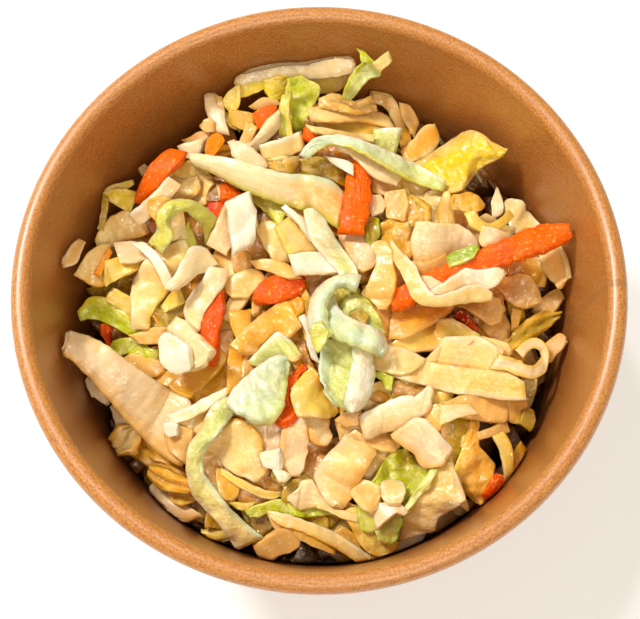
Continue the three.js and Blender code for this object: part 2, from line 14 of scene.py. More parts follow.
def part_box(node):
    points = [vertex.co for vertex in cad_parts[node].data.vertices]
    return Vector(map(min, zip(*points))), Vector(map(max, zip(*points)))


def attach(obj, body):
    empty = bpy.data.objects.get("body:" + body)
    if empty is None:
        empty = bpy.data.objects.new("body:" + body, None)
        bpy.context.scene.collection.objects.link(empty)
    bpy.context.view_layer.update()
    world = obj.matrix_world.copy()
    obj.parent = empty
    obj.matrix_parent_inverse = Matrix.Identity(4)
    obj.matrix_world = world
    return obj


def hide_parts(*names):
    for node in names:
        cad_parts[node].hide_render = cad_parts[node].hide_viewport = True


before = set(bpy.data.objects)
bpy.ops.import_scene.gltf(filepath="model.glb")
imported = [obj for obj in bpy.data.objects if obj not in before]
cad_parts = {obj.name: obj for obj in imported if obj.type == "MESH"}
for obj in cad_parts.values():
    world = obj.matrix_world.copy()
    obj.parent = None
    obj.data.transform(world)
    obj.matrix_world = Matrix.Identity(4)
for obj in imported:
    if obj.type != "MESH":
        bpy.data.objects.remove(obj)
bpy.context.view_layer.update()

MM = 0.001

# ---- The cup, mm, from the frame ----
rim_low, rim_high = (np.array(corner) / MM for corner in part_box("cup_wall"))
CUP_HEIGHT = rim_high[2]
RIM_RADIUS = (rim_high[0] - rim_low[0]) / 2
BASE_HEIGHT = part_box("cup_base")[1][2] / MM
FOOT_RADIUS = 45.0
CURL_RADIUS = 1.95
PAPER = 0.5
GAP = 0.3
HEM_HEIGHT = 6.0
CURL_OPENING_DEG = 45
ROUND_STEPS = 256
CURL_STEPS = 28
WALL_STEPS = 24

# ---- The heap, mm ----
CROWN_HEIGHT = 42.0
BACK_RISE = 0.12
RIGHT_RISE = 0.02
SHOULDER_DROP = 7.0
SHOULDER_RADIUS = 48.0
SHOULDER_POWER = 2.5
MOST_LEAN = 14.0  # how far over the heap a shred can lean on the wall
LEAN_FRONT = -15.0  # in front of this the wall is too steep for the lines of sight to meet it
RAY_STEP = 0.4
CORE_DEPTH = 3.0  # the core lies this far under the top of the shreds that fill the heap
MOAT_INNER = 40.0
MOAT_OUTER = 47.0
MOAT_DEPTH = 11.0
CORE_SIDE_HEIGHT = 12.0
CORE_CLEARANCE = 1.0
FOOD_CLEARANCE = 0.35

# ---- The camera ----
PICTURE = (640, 619)
FOCAL_PX = 1395.4
VIEW_ELEVATION = math.radians(71.51)
EYE_DISTANCE = 4.5 * RIM_RADIUS
EYE_SIDE = 0.16
AIM = np.array([EYE_SIDE, -5.93, CUP_HEIGHT])
SENSOR_WIDTH = 36.0
PX_PER_MM = 4.9  # on the heap

SEED = 11


def tone(red, green, blue):
    """A colour given as a screen shows it, 0 to 255, as linear light."""
    shares = np.array([red, green, blue]) / 255
    return np.where(shares <= 0.04045, shares / 12.92, ((shares + 0.055) / 1.055) ** 2.4)


# ---- Colours of the pieces ----
SNOW = tone(238, 227, 200)
PALE = tone(239, 214, 162)
CREAM = tone(240, 204, 126)
PINKISH = tone(239, 206, 158)
PEACH = tone(240, 186, 98)
HONEY = tone(240, 174, 54)
BUTTER = tone(234, 197, 82)
LEMON = tone(228, 198, 42)
SUNNY = tone(236, 200, 18)
GOLD = tone(226, 169, 45)
AMBER = tone(214, 150, 20)
TAN = tone(222, 172, 92)
FAWN = tone(202, 145, 58)
OLIVE = tone(184, 148, 18)
MOSS = tone(158, 116, 8)
MINT = tone(210, 223, 186)
CELERY = tone(207, 210, 118)
LEEK = tone(210, 204, 80)
LIME = tone(192, 194, 22)
GREEN = tone(158, 176, 28)
ORANGE = tone(246, 102, 2)
RUST = tone(232, 84, 2)
BRICK = tone(172, 40, 2)


# ---- Smooth random numbers ----
def lumps(places, length, seed, waves=7):
    """Smooth noise of about -1 to 1, with bumps about half a length across."""
    draw = np.random.default_rng(seed)
    total = np.zeros(places.shape[:-1])
    for _ in range(waves):
        direction = draw.normal(size=places.shape[-1])
        direction *= draw.uniform(0.7, 1.4) * 2 * np.pi / (length * np.linalg.norm(direction))
        total += np.sin(places @ direction + draw.uniform(0, 2 * np.pi))
    return total / math.sqrt(waves)


# ---- The heap's surface ----
def heap_top(x, y):
    rho = np.hypot(x, y) / SHOULDER_RADIUS
    bumps = 0.9 * np.sin(x / 5.1 + 1) * np.cos(y / 6.3) + 0.5 * np.sin(x / 3.4 - y / 4.2)
    slope = BACK_RISE * y + RIGHT_RISE * x
    return CROWN_HEIGHT + slope - SHOULDER_DROP * rho**SHOULDER_POWER + bumps


WALL_TOP_RADIUS = RIM_RADIUS - 2 * CURL_RADIUS
WALL_SLOPE = (WALL_TOP_RADIUS - (FOOT_RADIUS - PAPER)) / (CUP_HEIGHT - CURL_RADIUS)


def wall_inside(z):
    """Radius of the wall's inner face at a height."""
    return FOOT_RADIUS - PAPER + WALL_SLOPE * z


def smoothstep(value, low, high):
    share = np.clip((value - low) / (high - low), 0, 1)
    return share * share * (3 - 2 * share)


def core_top(x, y):
    moat = smoothstep(np.hypot(x, y), MOAT_INNER, MOAT_OUTER)
    return heap_top(x, y) - CORE_DEPTH - MOAT_DEPTH * moat


def held_in(places, margin=FOOD_CLEARANCE):
    """Keeps places inside the cup's wall and over its base."""
    radius = np.hypot(places[..., 0], places[..., 1])
    most = wall_inside(places[..., 2]) - margin
    share = np.minimum(1, most / np.maximum(radius, 1e-6))
    held = places.copy()
    held[..., 0] *= share
    held[..., 1] *= share
    held[..., 2] = np.maximum(held[..., 2], BASE_HEIGHT + FOOD_CLEARANCE)
    return held


# ---- The pile: how high the heap stands so far ----
class Pile:
    STEP = 0.5
    HALF = 56.0

    def __init__(self):
        self.size = int(2 * self.HALF / self.STEP) + 1
        axis = np.linspace(-self.HALF, self.HALF, self.size)
        x, y = np.meshgrid(axis, axis, indexing="ij")
        self.heights = core_top(x, y)
        self.smooth = None

    def cells(self, x, y):
        low, high = 0, self.size - 1
        column = np.clip(np.round((x + self.HALF) / self.STEP).astype(int), low, high)
        row = np.clip(np.round((y + self.HALF) / self.STEP).astype(int), low, high)
        return column, row

    def height(self, x, y):
        return self.heights[self.cells(x, y)]

    def skin(self):
        """General top of the pile: its height, smoothed."""
        if self.smooth is None:
            passes = int(2 * (SOAK_RADIUS / self.STEP) ** 2)
            self.smooth = eased(eased(self.heights, passes).T, passes).T
        return self.smooth

    def add(self, grid):
        """Raises the pile to a grid of places, and to the places halfway between them."""
        grid = np.concatenate([grid, (grid[1:] + grid[:-1]) / 2])
        for places in (grid, (grid[:, 1:] + grid[:, :-1]) / 2):
            flat = places.reshape(-1, 3)
            np.maximum.at(self.heights, self.cells(flat[:, 0], flat[:, 1]), flat[:, 2])


pile = Pile()

# ---- The camera's lines of sight ----
EYE = np.array(
    [
        EYE_SIDE,
        -EYE_DISTANCE * math.cos(VIEW_ELEVATION),
        CUP_HEIGHT + EYE_DISTANCE * math.sin(VIEW_ELEVATION),
    ]
)
FORWARD = (AIM - EYE) / np.linalg.norm(AIM - EYE)
RIGHTWARDS = np.array([1.0, 0.0, 0.0])
UPWARDS = np.cross(RIGHTWARDS, FORWARD)


def sights(points):
    """Directions of the lines of sight through picture points, for 1 mm down."""
    across = (points[..., 0] - PICTURE[0] / 2) / FOCAL_PX
    down = (PICTURE[1] / 2 - points[..., 1]) / FOCAL_PX
    rays = FORWARD + RIGHTWARDS * across[..., None] + UPWARDS * down[..., None]
    return rays / -rays[..., 2:3]


def landing(rays):
    """Height at which each line of sight reaches the pile or leans on the wall. Along each row, a few
    places that lean on the wall don't lift the others."""
    height = np.full(rays.shape[:-1], BASE_HEIGHT)
    falling = np.ones(rays.shape[:-1], bool)
    entered = np.zeros(rays.shape[:-1], bool)
    leaning = np.zeros(rays.shape[:-1], bool)
    for z in np.arange(CUP_HEIGHT, BASE_HEIGHT, -RAY_STEP):
        place = EYE + rays * (EYE[2] - z)
        x, y = place[..., 0], place[..., 1]
        inside = np.hypot(x, y) < wall_inside(z) - FOOD_CLEARANCE
        on_wall = entered & ~inside & (y > LEAN_FRONT) & (z - heap_top(x, y) < MOST_LEAN)
        landed = falling & (on_wall | (pile.height(x, y) >= z))
        height[landed] = z
        leaning |= falling & on_wall
        falling &= ~landed
        entered |= inside
    resting = np.where(leaning, np.nan, height)
    free = (~leaning).sum(axis=-1, keepdims=True)
    mean = np.nansum(resting, axis=-1, keepdims=True) / np.maximum(free, 1)
    few = leaning & (free > 0.35 * height.shape[-1])
    return np.where(few, mean, height)


# ---- Curves ----
def smooth_through(points, knots, shares):
    """A smooth curve through points at their knots, with slopes that don't overshoot."""
    slopes = np.zeros_like(points)
    steps = np.diff(knots)[:, None]
    chords = np.diff(points, axis=0) / steps
    slopes[1:-1] = (chords[1:] * steps[:-1] + chords[:-1] * steps[1:]) / (steps[:-1] + steps[1:])
    slopes[0] = chords[0]
    slopes[-1] = chords[-1]
    place = np.clip(np.searchsorted(knots, shares, side="right") - 1, 0, len(knots) - 2)
    step = steps[place]
    t = ((shares - knots[place])[:, None]) / step
    low, high = points[place], points[place + 1]
    return (
        (2 * t**3 - 3 * t**2 + 1) * low
        + (t**3 - 2 * t**2 + t) * step * slopes[place]
        + (3 * t**2 - 2 * t**3) * high
        + (t**3 - t**2) * step * slopes[place + 1]
    )


def spread(values, shares):
    """Values that are spread evenly from 0 to 1, read at the shares."""
    values = np.atleast_1d(np.asarray(values, float))
    if len(values) == 1:
        return np.full(len(shares), values[0])
    knots = np.linspace(0, 1, len(values))
    return smooth_through(values[:, None], knots, shares)[:, 0]


def curve(points, spacing, cornered=False):
    """Evenly spaced places on a smooth or cornered line through points, and their distance along it."""
    points = np.asarray(points, float)
    lengths = np.linalg.norm(np.diff(points, axis=0), axis=1)
    knots = np.concatenate([[0], np.cumsum(np.maximum(lengths, 1e-3))])
    fine = np.linspace(0, knots[-1], 40 * len(points))
    if cornered:
        places = np.stack([np.interp(fine, knots, column) for column in points.T], axis=1)
    else:
        places = smooth_through(points, knots, fine)
    run = np.concatenate([[0], np.cumsum(np.linalg.norm(np.diff(places, axis=0), axis=1))])
    count = max(4, int(round(run[-1] / spacing)) + 1)
    along = np.linspace(0, run[-1], count)
    return np.stack([np.interp(along, run, column) for column in places.T], axis=1), along


def eased(values, passes=2):
    for _ in range(passes):
        padded = np.concatenate([values[:1], values, values[-1:]])
        values = 0.25 * padded[:-2] + 0.5 * padded[1:-1] + 0.25 * padded[2:]
    return values


def draped(heights, along, bend):
    """A stiff line laid over heights: no bend is tighter than a radius."""
    apart = along[:, None] - along[None, :]
    return (heights[None, :] - apart**2 / (2 * bend)).max(axis=1)


# ---- Joined meshes, one for each kind of piece ----
class Kind:
    """Collects the pieces of one kind.

    tint is a vertex colour, and grain is (mm along, mm across, number).
    """

    def __init__(self, name):
        self.name = name
        self.count = 0
        self.places, self.tints, self.grains, self.faces, self.vertices = [], [], [], [], 0

    def add(self, places, tints, grains, faces):
        self.places.append(places.reshape(-1, 3))
        self.tints.append(np.clip(tints.reshape(-1, 3), 0, 1))
        self.grains.append(grains.reshape(-1, 3))
        self.faces.append(faces + self.vertices)
        self.vertices += places.reshape(-1, 3).shape[0]
        self.count += 1

    def made(self, material, sharp_deg=None):
        places = np.concatenate(self.places)
        soaked = soaked_share(places)[:, None]
        places = places * MM
        faces = np.concatenate(self.faces)
        obj = new_mesh(self.name, places, faces)
        mesh = obj.data
        tint = mesh.attributes.new("tint", "FLOAT_COLOR", "POINT")
        tints = np.concatenate(self.tints)
        # painted shade: pieces that lie deep under the pile's smoothed top are darkened and warmed
        tints = tints * (1 - soaked + soaked * SOAKED)
        tint.data.foreach_set("color", np.column_stack([tints, np.ones(len(tints))]).ravel())
        grain = mesh.attributes.new("grain", "FLOAT_VECTOR", "POINT")
        grain.data.foreach_set("vector", np.concatenate(self.grains).ravel())
        mesh.materials.append(material)
        if sharp_deg:
            mesh.set_sharp_from_angle(angle=math.radians(sharp_deg))
        return obj


SOAKED = np.array((0.74, 0.48, 0.14))  # painted shade: deepens and warms the pieces that lie deep between others, where shade falls
SOAK_RADIUS = 5.0
SOAK_FROM = 0.9
SOAK_TO = 6.5


def soaked_share(places):
    """How deep places lie under the general top of the pile, from 0 to 1."""
    cells = pile.cells(places[:, 0], places[:, 1])
    return smoothstep(pile.skin()[cells] - places[:, 2], SOAK_FROM, SOAK_TO)


def new_mesh(name, places, faces):
    mesh = bpy.data.meshes.new(name)
    mesh.from_pydata(places.tolist(), [], faces.tolist())
    mesh.update()
    mesh.shade_smooth()
    obj = bpy.data.objects.new(name, mesh)
    bpy.context.scene.collection.objects.link(obj)
    return obj


KINDS = {
    name: Kind(name)
    for name in (
        "cabbage_ribs",
        "cabbage_ribbons",
        "cabbage_leaves",
        "carrot_sticks",
        "cabbage_shreds",
        "cabbage_leaf_shreds",
    )
}
RIB, RIBBON, LEAF, CARROT, SHRED, SHRED_LEAF = KINDS.values()


# ---- Building one piece ----
EDGE_COLUMNS = (0.94, 0.985, 1.0)  # columns that keep a piece's edges crisp


def columns_of(width, spacing):
    """Shares from -1 to 1 across a piece, closer together near its edges."""
    count = max(5, int(round(width / spacing)) - 1 | 1)
    inner = np.linspace(-0.82, 0.82, count)
    edge = np.array(EDGE_COLUMNS)
    return np.concatenate([-edge[::-1], inner, edge])


def slab(middle, face, thick, across, along, rounding, square):
    """Closed skin of a sheet: middle is rows by columns of places, face the unit normals,
    thick the thickness at each, across the shares -1 to 1 and along the distances.
    rounding is how far the ends are rounded, and square how square its edges are."""
    rows, columns = middle.shape[:2]
    edge = (1 - np.abs(across) ** square) ** 0.5
    from_end = np.minimum(along - along[0], along[-1] - along)
    near = np.clip(1 - from_end / rounding, 0, 1)
    end = np.sqrt(np.clip(1 - 0.9 * near**3, 0, 1))
    half = 0.5 * thick * edge[None, :] * end[:, None]
    top = middle + face * half[..., None]
    bottom = middle - face * half[..., None]
    ring = np.concatenate([top, bottom[:, -2:0:-1]], axis=1)
    size = ring.shape[1]
    row = np.arange(rows - 1)[:, None] * size
    cell = np.arange(size)[None, :]
    after = (cell + 1) % size
    quads = np.stack([row + cell, row + size + cell, row + size + after, row + after], axis=-1)
    quads = quads.reshape(-1, 4)
    caps = []
    for start, flip in ((0, False), ((rows - 1) * size, True)):
        for j in range(columns - 1):
            under, under_next = (size - j) % size, size - j - 1
            corners = [start + j, start + j + 1, start + under_next, start + under]
            if j == columns - 2:
                corners[2] = start + j + 1
            caps.append(corners[::-1] if flip else corners)
    faces = [list(dict.fromkeys(quad)) for quad in caps]
    return ring, quads, [f for f in faces if len(f) > 2]


def as_triangles(quads, caps):
    """All faces as triangles, both halves of a quad alike."""
    halves = np.concatenate([quads[:, [0, 1, 2]], quads[:, [0, 2, 3]]])
    more = []
    for corners in caps:
        for k in range(1, len(corners) - 1):
            more.append([corners[0], corners[k], corners[k + 1]])
    return np.concatenate([halves, np.array(more, int)]) if more else halves


def normals_of(grid):
    """Unit normals of a grid of places, rows along and columns across, turned upwards."""
    down = np.gradient(grid, axis=0)
    over = np.gradient(grid, axis=1)
    face = np.cross(over, down)
    face *= np.where(face[..., 2:3].mean() < 0, -1, 1)
    return face / np.maximum(np.linalg.norm(face, axis=-1, keepdims=True), 1e-9)


def shaded(look, across, along, number):
    """Colour of each vertex, from the look's tint, left, right, end and mottle."""
    tint = look["tint"]
    left = look.get("left", look.get("edge", tint))
    right = look.get("right", look.get("edge", tint))
    share_along = (along - along[0]) / max(along[-1] - along[0], 1e-6)
    end = smoothstep(share_along, 0.3, 1.0)[:, None, None]
    base = tint * (1 - end) + look.get("end", tint) * end
    for colour_there, share in ((left, -across), (right, across)):
        near = smoothstep(share, 0.3, 1.0)[None, :, None]
        base = base * (1 - near) + colour_there * near
    plane = np.stack(np.broadcast_arrays(along[:, None], across[None, :] * 2), axis=-1)
    change = 1 + look.get("mottle", 0.06) * lumps(plane, 7, number + 5)
    return base * change[..., None]


def add_slab(kind, middle, face, thick, across, along, look):
    """Adds a closed piece round a grid of places, with fine relief, to a kind."""
    number = kind.count
    relief = look.get("relief", 0.06)
    coarse = relief * lumps(middle, 2.6, 1000 + number) + 0.5 * relief * lumps(middle, 1.1, 2000 + number)
    tints = shaded(look, across, along, number)
    ridges = look.get("ridges")
    if ridges:
        groove = np.abs(np.sin(np.pi * ridges * (across + 1) / 2 + 0.4 * lumps(along[:, None], 9,
            number)[:, None]))
        coarse = coarse + 0.7 * (groove - 0.6)
        # painted shade: the tint darkens in the grooves
        tints = tints * (0.55 + 0.45 * smoothstep(groove, 0.0, 0.6))[..., None]
    thickness = np.broadcast_to(thick, middle.shape[:2])
    ring, quads, caps = slab(
        middle, face, thickness, across, along, look.get("rounding", 0.3), look.get("square", 26.0)
    )
    columns = middle.shape[1]
    order = np.concatenate([np.arange(columns), np.arange(columns - 2, 0, -1)])
    side = np.concatenate([np.ones(columns), -np.ones(columns - 2)])
    ring = ring + face[:, order] * (coarse[:, order] * side[None, :])[..., None]
    width = np.linalg.norm(middle[:, -1] - middle[:, 0], axis=-1).mean()
    grain = np.stack(
        np.broadcast_arrays(along[:, None], (across[order] * width / 2)[None, :], np.float64(number)),
        axis=-1
    )
    triangles = as_triangles(quads, caps)
    turned_in = (np.cross(np.gradient(middle, axis=1), np.gradient(middle, axis=0)) * face).sum() > 0
    kind.add(held_in(ring), tints[:, order], grain, triangles[:, ::-1] if turned_in else triangles)
    pile.add(middle + face * (thickness * 0.5)[..., None])


# ---- Laying a piece by its two edges in the picture ----
LANDING_SHARES = np.array([-0.9, -0.45, 0.0, 0.45, 0.9])
MOST_TILT = 0.45  # mm up for each mm across
SINK = 0.5  # share of the way from its highest point of rest to the mean that a piece sinks in


def rows_of(outline, heading, count=28):
    """Cuts an outline of picture points across a heading, in degrees, into rows of two edge points."""
    points = np.array(outline, float)
    turn = math.radians(heading)
    ahead = np.array([math.cos(turn), math.sin(turn)])
    aside = np.array([-ahead[1], ahead[0]])
    run, off = points @ ahead, points @ aside
    inset = 0.012 * (run.max() - run.min())
    rows = []
    for station in np.linspace(run.min() + inset, run.max() - inset, count):
        offsets = []
        for k in range(len(points)):
            a, b = k - 1, k
            if (run[a] - station) * (run[b] - station) <= 0 and run[a] != run[b]:
                share = (station - run[a]) / (run[b] - run[a])
                offsets.append(off[a] + share * (off[b] - off[a]))
        left = ahead * station + aside * min(offsets)
        right = ahead * station + aside * max(offsets)
        rows.append((*left, *right))
    return rows


def lay_band(kind, rows, thick, look):
    """Lays a piece between two edges on the pile, with bends no tighter than look's bend."""
    number = kind.count
    spacing = look.get("spacing", 0.65)
    edges, along = curve(np.array(rows, float) / PX_PER_MM, spacing, look.get("cornered", False))
    edges = edges * PX_PER_MM
    centre = (edges[:, :2] + edges[:, 2:]) / 2
    half = (edges[:, 2:] - edges[:, :2]) / 2
    widths = 2 * np.linalg.norm(half, axis=1) / PX_PER_MM
    half = half * ((widths + 2 * GROWTH[kind.name]) / np.maximum(widths, 0.3))[:, None]
    for end, beside in ((0, 1), (-1, -2)):
        onward = (centre[end] - centre[beside]) / max(np.linalg.norm(centre[end] - centre[beside]), 1e-6)
        centre[end] += onward * GROWTH[kind.name] * PX_PER_MM
    steps = np.linalg.norm(np.diff(centre, axis=0), axis=1) / PX_PER_MM
    along = np.concatenate([[0], np.cumsum(np.maximum(steps, 0.05))])
    shares = along / along[-1]
    ragged = look.get("ragged", 0.1) * lumps(along[:, None], 3.0, number + 31)
    half = half * (1 + ragged / np.maximum(widths, 1))[:, None]
    rough_rays = sights(centre[:, None, :] + half[:, None, :] * LANDING_SHARES[None, :, None])
    ground = landing(rough_rays)
    slope = (ground * LANDING_SHARES).sum(axis=1) / (LANDING_SHARES**2).sum()
    most = MOST_TILT * widths / 2
    slope = eased(np.clip(slope, -most, most), 6)
    rest = ground - slope[:, None] * LANDING_SHARES
    profile = (1 - SINK) * rest.max(axis=1) + SINK * rest.mean(axis=1)
    profile = eased(draped(eased(profile, 2), along, look.get("bend", 14.0)), 3)
    profile = profile + thick / 2 + spread(look.get("lift", 0.0), shares)
    slope = slope + spread(look.get("tilt", 0.0), shares) * widths / 2
    across = columns_of(widths.max(), spacing)
    rays = sights(centre[:, None, :] + half[:, None, :] * across[None, :, None])
    height = profile[:, None] + slope[:, None] * across[None, :]
    wave = np.sin(2 * np.pi * along[:, None] / look.get("frill_length", 6.0) + 2.4 * across[None,
        :] + number)
    height = height + look.get("arch", 0.0) * (0.5 - across[None, :] ** 2)
    height = height + look.get("frill", 0.0) * across[None, :] ** 2 * wave
    crumple = look.get("crumple", 0.0)
    flat = EYE + rays * (EYE[2] - height)[..., None]
    wrinkle = crumple * lumps(flat, 5.0, number + 77) + 0.45 * crumple * lumps(flat, 2.4, number + 78)
    middle = EYE + rays * (EYE[2] - height - wrinkle)[..., None]
    middle = held_in(middle, FOOD_CLEARANCE + thick / 2)
    add_slab(kind, middle, normals_of(middle), thick, across, along, look)


def lay_sheet(kind, net, thick, look):
    """Lays a leaf through a net of points on the pile."""
    number = kind.count
    spacing = look.get("spacing", 0.6)
    net = np.array(net, float)
    rows, columns = net.shape[:2]
    rays = sights(net)
    ground = landing(rays)
    place = (EYE + rays * (EYE[2] - ground)[..., None]).reshape(-1, 3)
    apart = np.linalg.norm(place[:, None, :2] - place[None, :, :2], axis=2)
    rest = (ground.reshape(1, -1) - apart**2 / (2 * look.get("bend", 8.0))).max(axis=1).reshape(rows,
        columns)
    place = EYE + rays * (EYE[2] - rest - thick / 2 - net[..., 2])[..., None]
    long = np.linalg.norm(np.diff(place, axis=0), axis=2).sum(axis=0).max()
    wide = np.linalg.norm(np.diff(place, axis=1), axis=2).sum(axis=1).max()
    down = np.linspace(0, 1, max(8, int(long / spacing)))
    across = columns_of(wide, spacing)
    over = (across + 1) / 2
    fine = np.stack([smooth_through(place[:, j], np.linspace(0, 1, rows), down) for j in range(columns)],
        axis=1)
    middle = np.stack([smooth_through(row, np.linspace(0, 1, columns), over) for row in fine])
    face = normals_of(middle)
    crumple = look.get("crumple", 0.25)
    wrinkle = crumple * lumps(middle, 4.6, number + 177) + 0.5 * crumple * lumps(middle, 2.1,
        number + 178)
    middle = held_in(middle + face * wrinkle[..., None], FOOD_CLEARANCE + thick / 2)
    add_slab(kind, middle, face, thick, across, down * long, look)


# ---- The pieces placed one by one are listed first, and laid when the heap under them is full ----
LISTED = []
GROWTH = {"cabbage_ribs": 0.3, "cabbage_ribbons": 0.3, "cabbage_leaves": 0.3, "carrot_sticks": 0.12}
THINNING = {"cabbage_ribs": 0.7, "cabbage_ribbons": 0.72, "cabbage_leaves": 0.6, "carrot_sticks": 0.95}


def band(kind, rows, thick, tint, **look):
    """A piece between two edges: rows of (px across, px down) of its left and right edge.
    lift raises it along its length, arch bends it across, frill waves its edges and crumple wrinkles it,
    all in mm. ridges is a number of grooves along it."""
    LISTED.append((lay_band, kind, rows, thick * THINNING[kind.name], {"tint": tint, **look}))


def patch(kind, outline, heading, thick, tint, **look):
    """A piece given by its outline in the picture; its grain runs along the heading, in degrees."""
    rows = rows_of(outline, heading)
    band(kind, rows, thick, tint, cornered=True, **look)


def sheet(kind, net, thick, tint, **look):
    """A leaf through a net of (px across, px down, mm over its rest), a list of rows."""
    LISTED.append((lay_sheet, kind, net, thick * THINNING[kind.name], {"tint": tint, **look}))


# ---- Shreds that fill the heap under the listed ones ----
FILLERS = 900
FILLER_TRIES = 9
FILLER_REACH = 49.5
FILLER_BEND = 12.0
FILL_MOAT = 6.0
FILL_SLACK = 2.2
STACKING = 1.3  # height of the listed pieces, for each mm of their thickness
STACK_BLUR = 9
LEAST_STACK = 1.0
MOST_STACK = 12.0
SHADE = np.array((0.3, 0.2, 0.12))  # painted shade: fillers deep beside the wall are darkened brown
SHADE_INNER = 40.0
SHADE_OUTER = 46.0
FILLER_TONES = ((CREAM, 0.2), (BUTTER, 0.24), (PEACH, 0.14), (GOLD, 0.18), (AMBER, 0.1), (OLIVE, 0.08),
    (TAN, 0.06))


def make_room():
    """Lowers the pile's bed by the height that the listed pieces will stack up to."""
    shares = np.linspace(-1, 1, 41)
    stack = np.zeros_like(pile.heights)
    for lay, _, rows, thick, _ in LISTED:
        if lay is lay_band:
            edges, _ = curve(np.array(rows, float) / PX_PER_MM, 0.4)
            edges = edges * PX_PER_MM
            centre, half = (edges[:, :2] + edges[:, 2:]) / 2, (edges[:, 2:] - edges[:, :2]) / 2
            points = centre[:, None, :] + half[:, None, :] * shares[None, :, None]
        else:
            net = np.array(rows, float)
            long = np.stack([spread_rows(net[:, j], shares) for j in range(net.shape[1])], axis=1)
            points = np.stack([spread_rows(row, shares) for row in long])[..., :2]
        rays = sights(points)
        flat = EYE + rays * (EYE[2] - CROWN_HEIGHT)
        covered = np.zeros_like(stack)
        covered[pile.cells(flat[..., 0], flat[..., 1])] = thick
        stack += covered
    stack = eased(eased(stack, STACK_BLUR).T, STACK_BLUR).T
    pile.room = np.clip(STACKING * stack, LEAST_STACK, MOST_STACK)
    pile.heights -= pile.room


def spread_rows(points, shares):
    """Points spread evenly from -1 to 1, read at the shares."""
    return smooth_through(points, np.linspace(-1, 1, len(points)), shares)


def fill_top(x, y):
    """Height that the fillers build up to."""
    room = pile.room[pile.cells(x, y)]
    return heap_top(x, y) - room - FILL_MOAT * smoothstep(np.hypot(x, y), MOAT_INNER, MOAT_OUTER)


def fill_heap():
    draw = np.random.default_rng(SEED)
    tones = [one for one, _ in FILLER_TONES]
    odds = np.array([share for _, share in FILLER_TONES])
    for _ in range(FILLERS):
        radius = FILLER_REACH * np.sqrt(draw.uniform(0, 1, FILLER_TRIES))
        angle = draw.uniform(0, 2 * np.pi, FILLER_TRIES)
        x, y = radius * np.cos(angle), radius * np.sin(angle)
        lowest = np.argmin(pile.height(x, y) - fill_top(x, y))
        middle = np.array([x[lowest], y[lowest]])
        heading = draw.uniform(0, np.pi)
        length = draw.uniform(8, 20)
        bow = draw.uniform(-0.35, 0.35) * length
        ahead = np.array([np.cos(heading), np.sin(heading)])
        aside = np.array([-ahead[1], ahead[0]])
        ends = [middle - ahead * length / 2, middle + aside * bow / 2, middle + ahead * length / 2]
        plan, along = curve([[px, py, 0] for px, py in ends], 0.9)
        rho = np.hypot(plan[:, 0], plan[:, 1])
        plan[:, :2] *= np.minimum(1, FILLER_REACH / np.maximum(rho, 1e-6))[:, None]
        leafy = draw.uniform() < 0.4
        width = draw.uniform(2.4, 5.5) if leafy else draw.uniform(1.8, 4.6)
        thick = draw.uniform(0.7, 1.1) if leafy else draw.uniform(1.0, 2.2)
        side = np.array([aside[0], aside[1], 0])
        beside = [plan + side * share * width for share in (-0.4, 0, 0.4)]
        under = np.max([pile.height(one[:, 0], one[:, 1]) for one in beside], axis=0)
        plan[:, 2] = draped(under, along, FILLER_BEND) + thick / 2
        over = plan[:, 2] - fill_top(plan[:, 0], plan[:, 1])
        shade = smoothstep(np.hypot(*middle), SHADE_INNER, SHADE_OUTER)
        # painted shade: fillers near the wall are darkened
        tint = tones[draw.choice(len(tones), p=odds)] * draw.uniform(0.8,
            1.05) * (1 - shade + shade * SHADE)
        shape = [width * draw.uniform(0.6, 1), width, width * draw.uniform(0.5, 1)]
        roll = draw.uniform(-25, 25)
        look = {
            "tint": tint,
            "edge": tint * draw.uniform(0.95, 1.1),
            "arch": draw.uniform(0, 0.5),
            "frill": 0.5 if leafy else 0.0,
            "crumple": 0.25 if leafy else 0.05,
        }
        if over.max() < FILL_SLACK:
            loose_strip(SHRED_LEAF if leafy else SHRED, plan, along, shape, thick, roll, look)


def loose_strip(kind, line, along, width, thick, roll, look):
    """A strip along a line of places, turned about it by roll degrees."""
    number = kind.count
    shares = along / along[-1]
    widths = spread(width, shares) * (1 + 0.07 * lumps(along[:, None], 9, number + 31))
    forward = np.gradient(line, axis=0)
    forward /= np.linalg.norm(forward, axis=1, keepdims=True)
    flat = np.cross(forward, [0, 0, 1])
    flat /= np.linalg.norm(flat, axis=1, keepdims=True)
    up = np.cross(flat, forward)
    turn = math.radians(roll)
    side = flat * math.cos(turn) + up * math.sin(turn)
    rise = up * math.cos(turn) - flat * math.sin(turn)
    across = columns_of(widths.max(), 0.9)
    wave = np.sin(along[:, None] + 2.4 * across[None, :] + number)
    lift = look["arch"] * (0.5 - across[None, :] ** 2) + look["frill"] * across[None, :] ** 2 * wave
    offset = across[None, :] * widths[:, None] / 2
    middle = line[:, None, :] + side[:, None, :] * offset[..., None] + rise[:, None, :] * lift[..., None]
    wrinkle = look["crumple"] * lumps(middle, 5.0, number + 77)
    middle = middle + rise[:, None, :] * wrinkle[..., None]
    middle = held_in(middle, FOOD_CLEARANCE + thick / 2)
    add_slab(kind, middle, normals_of(middle), thick, across, along, look)
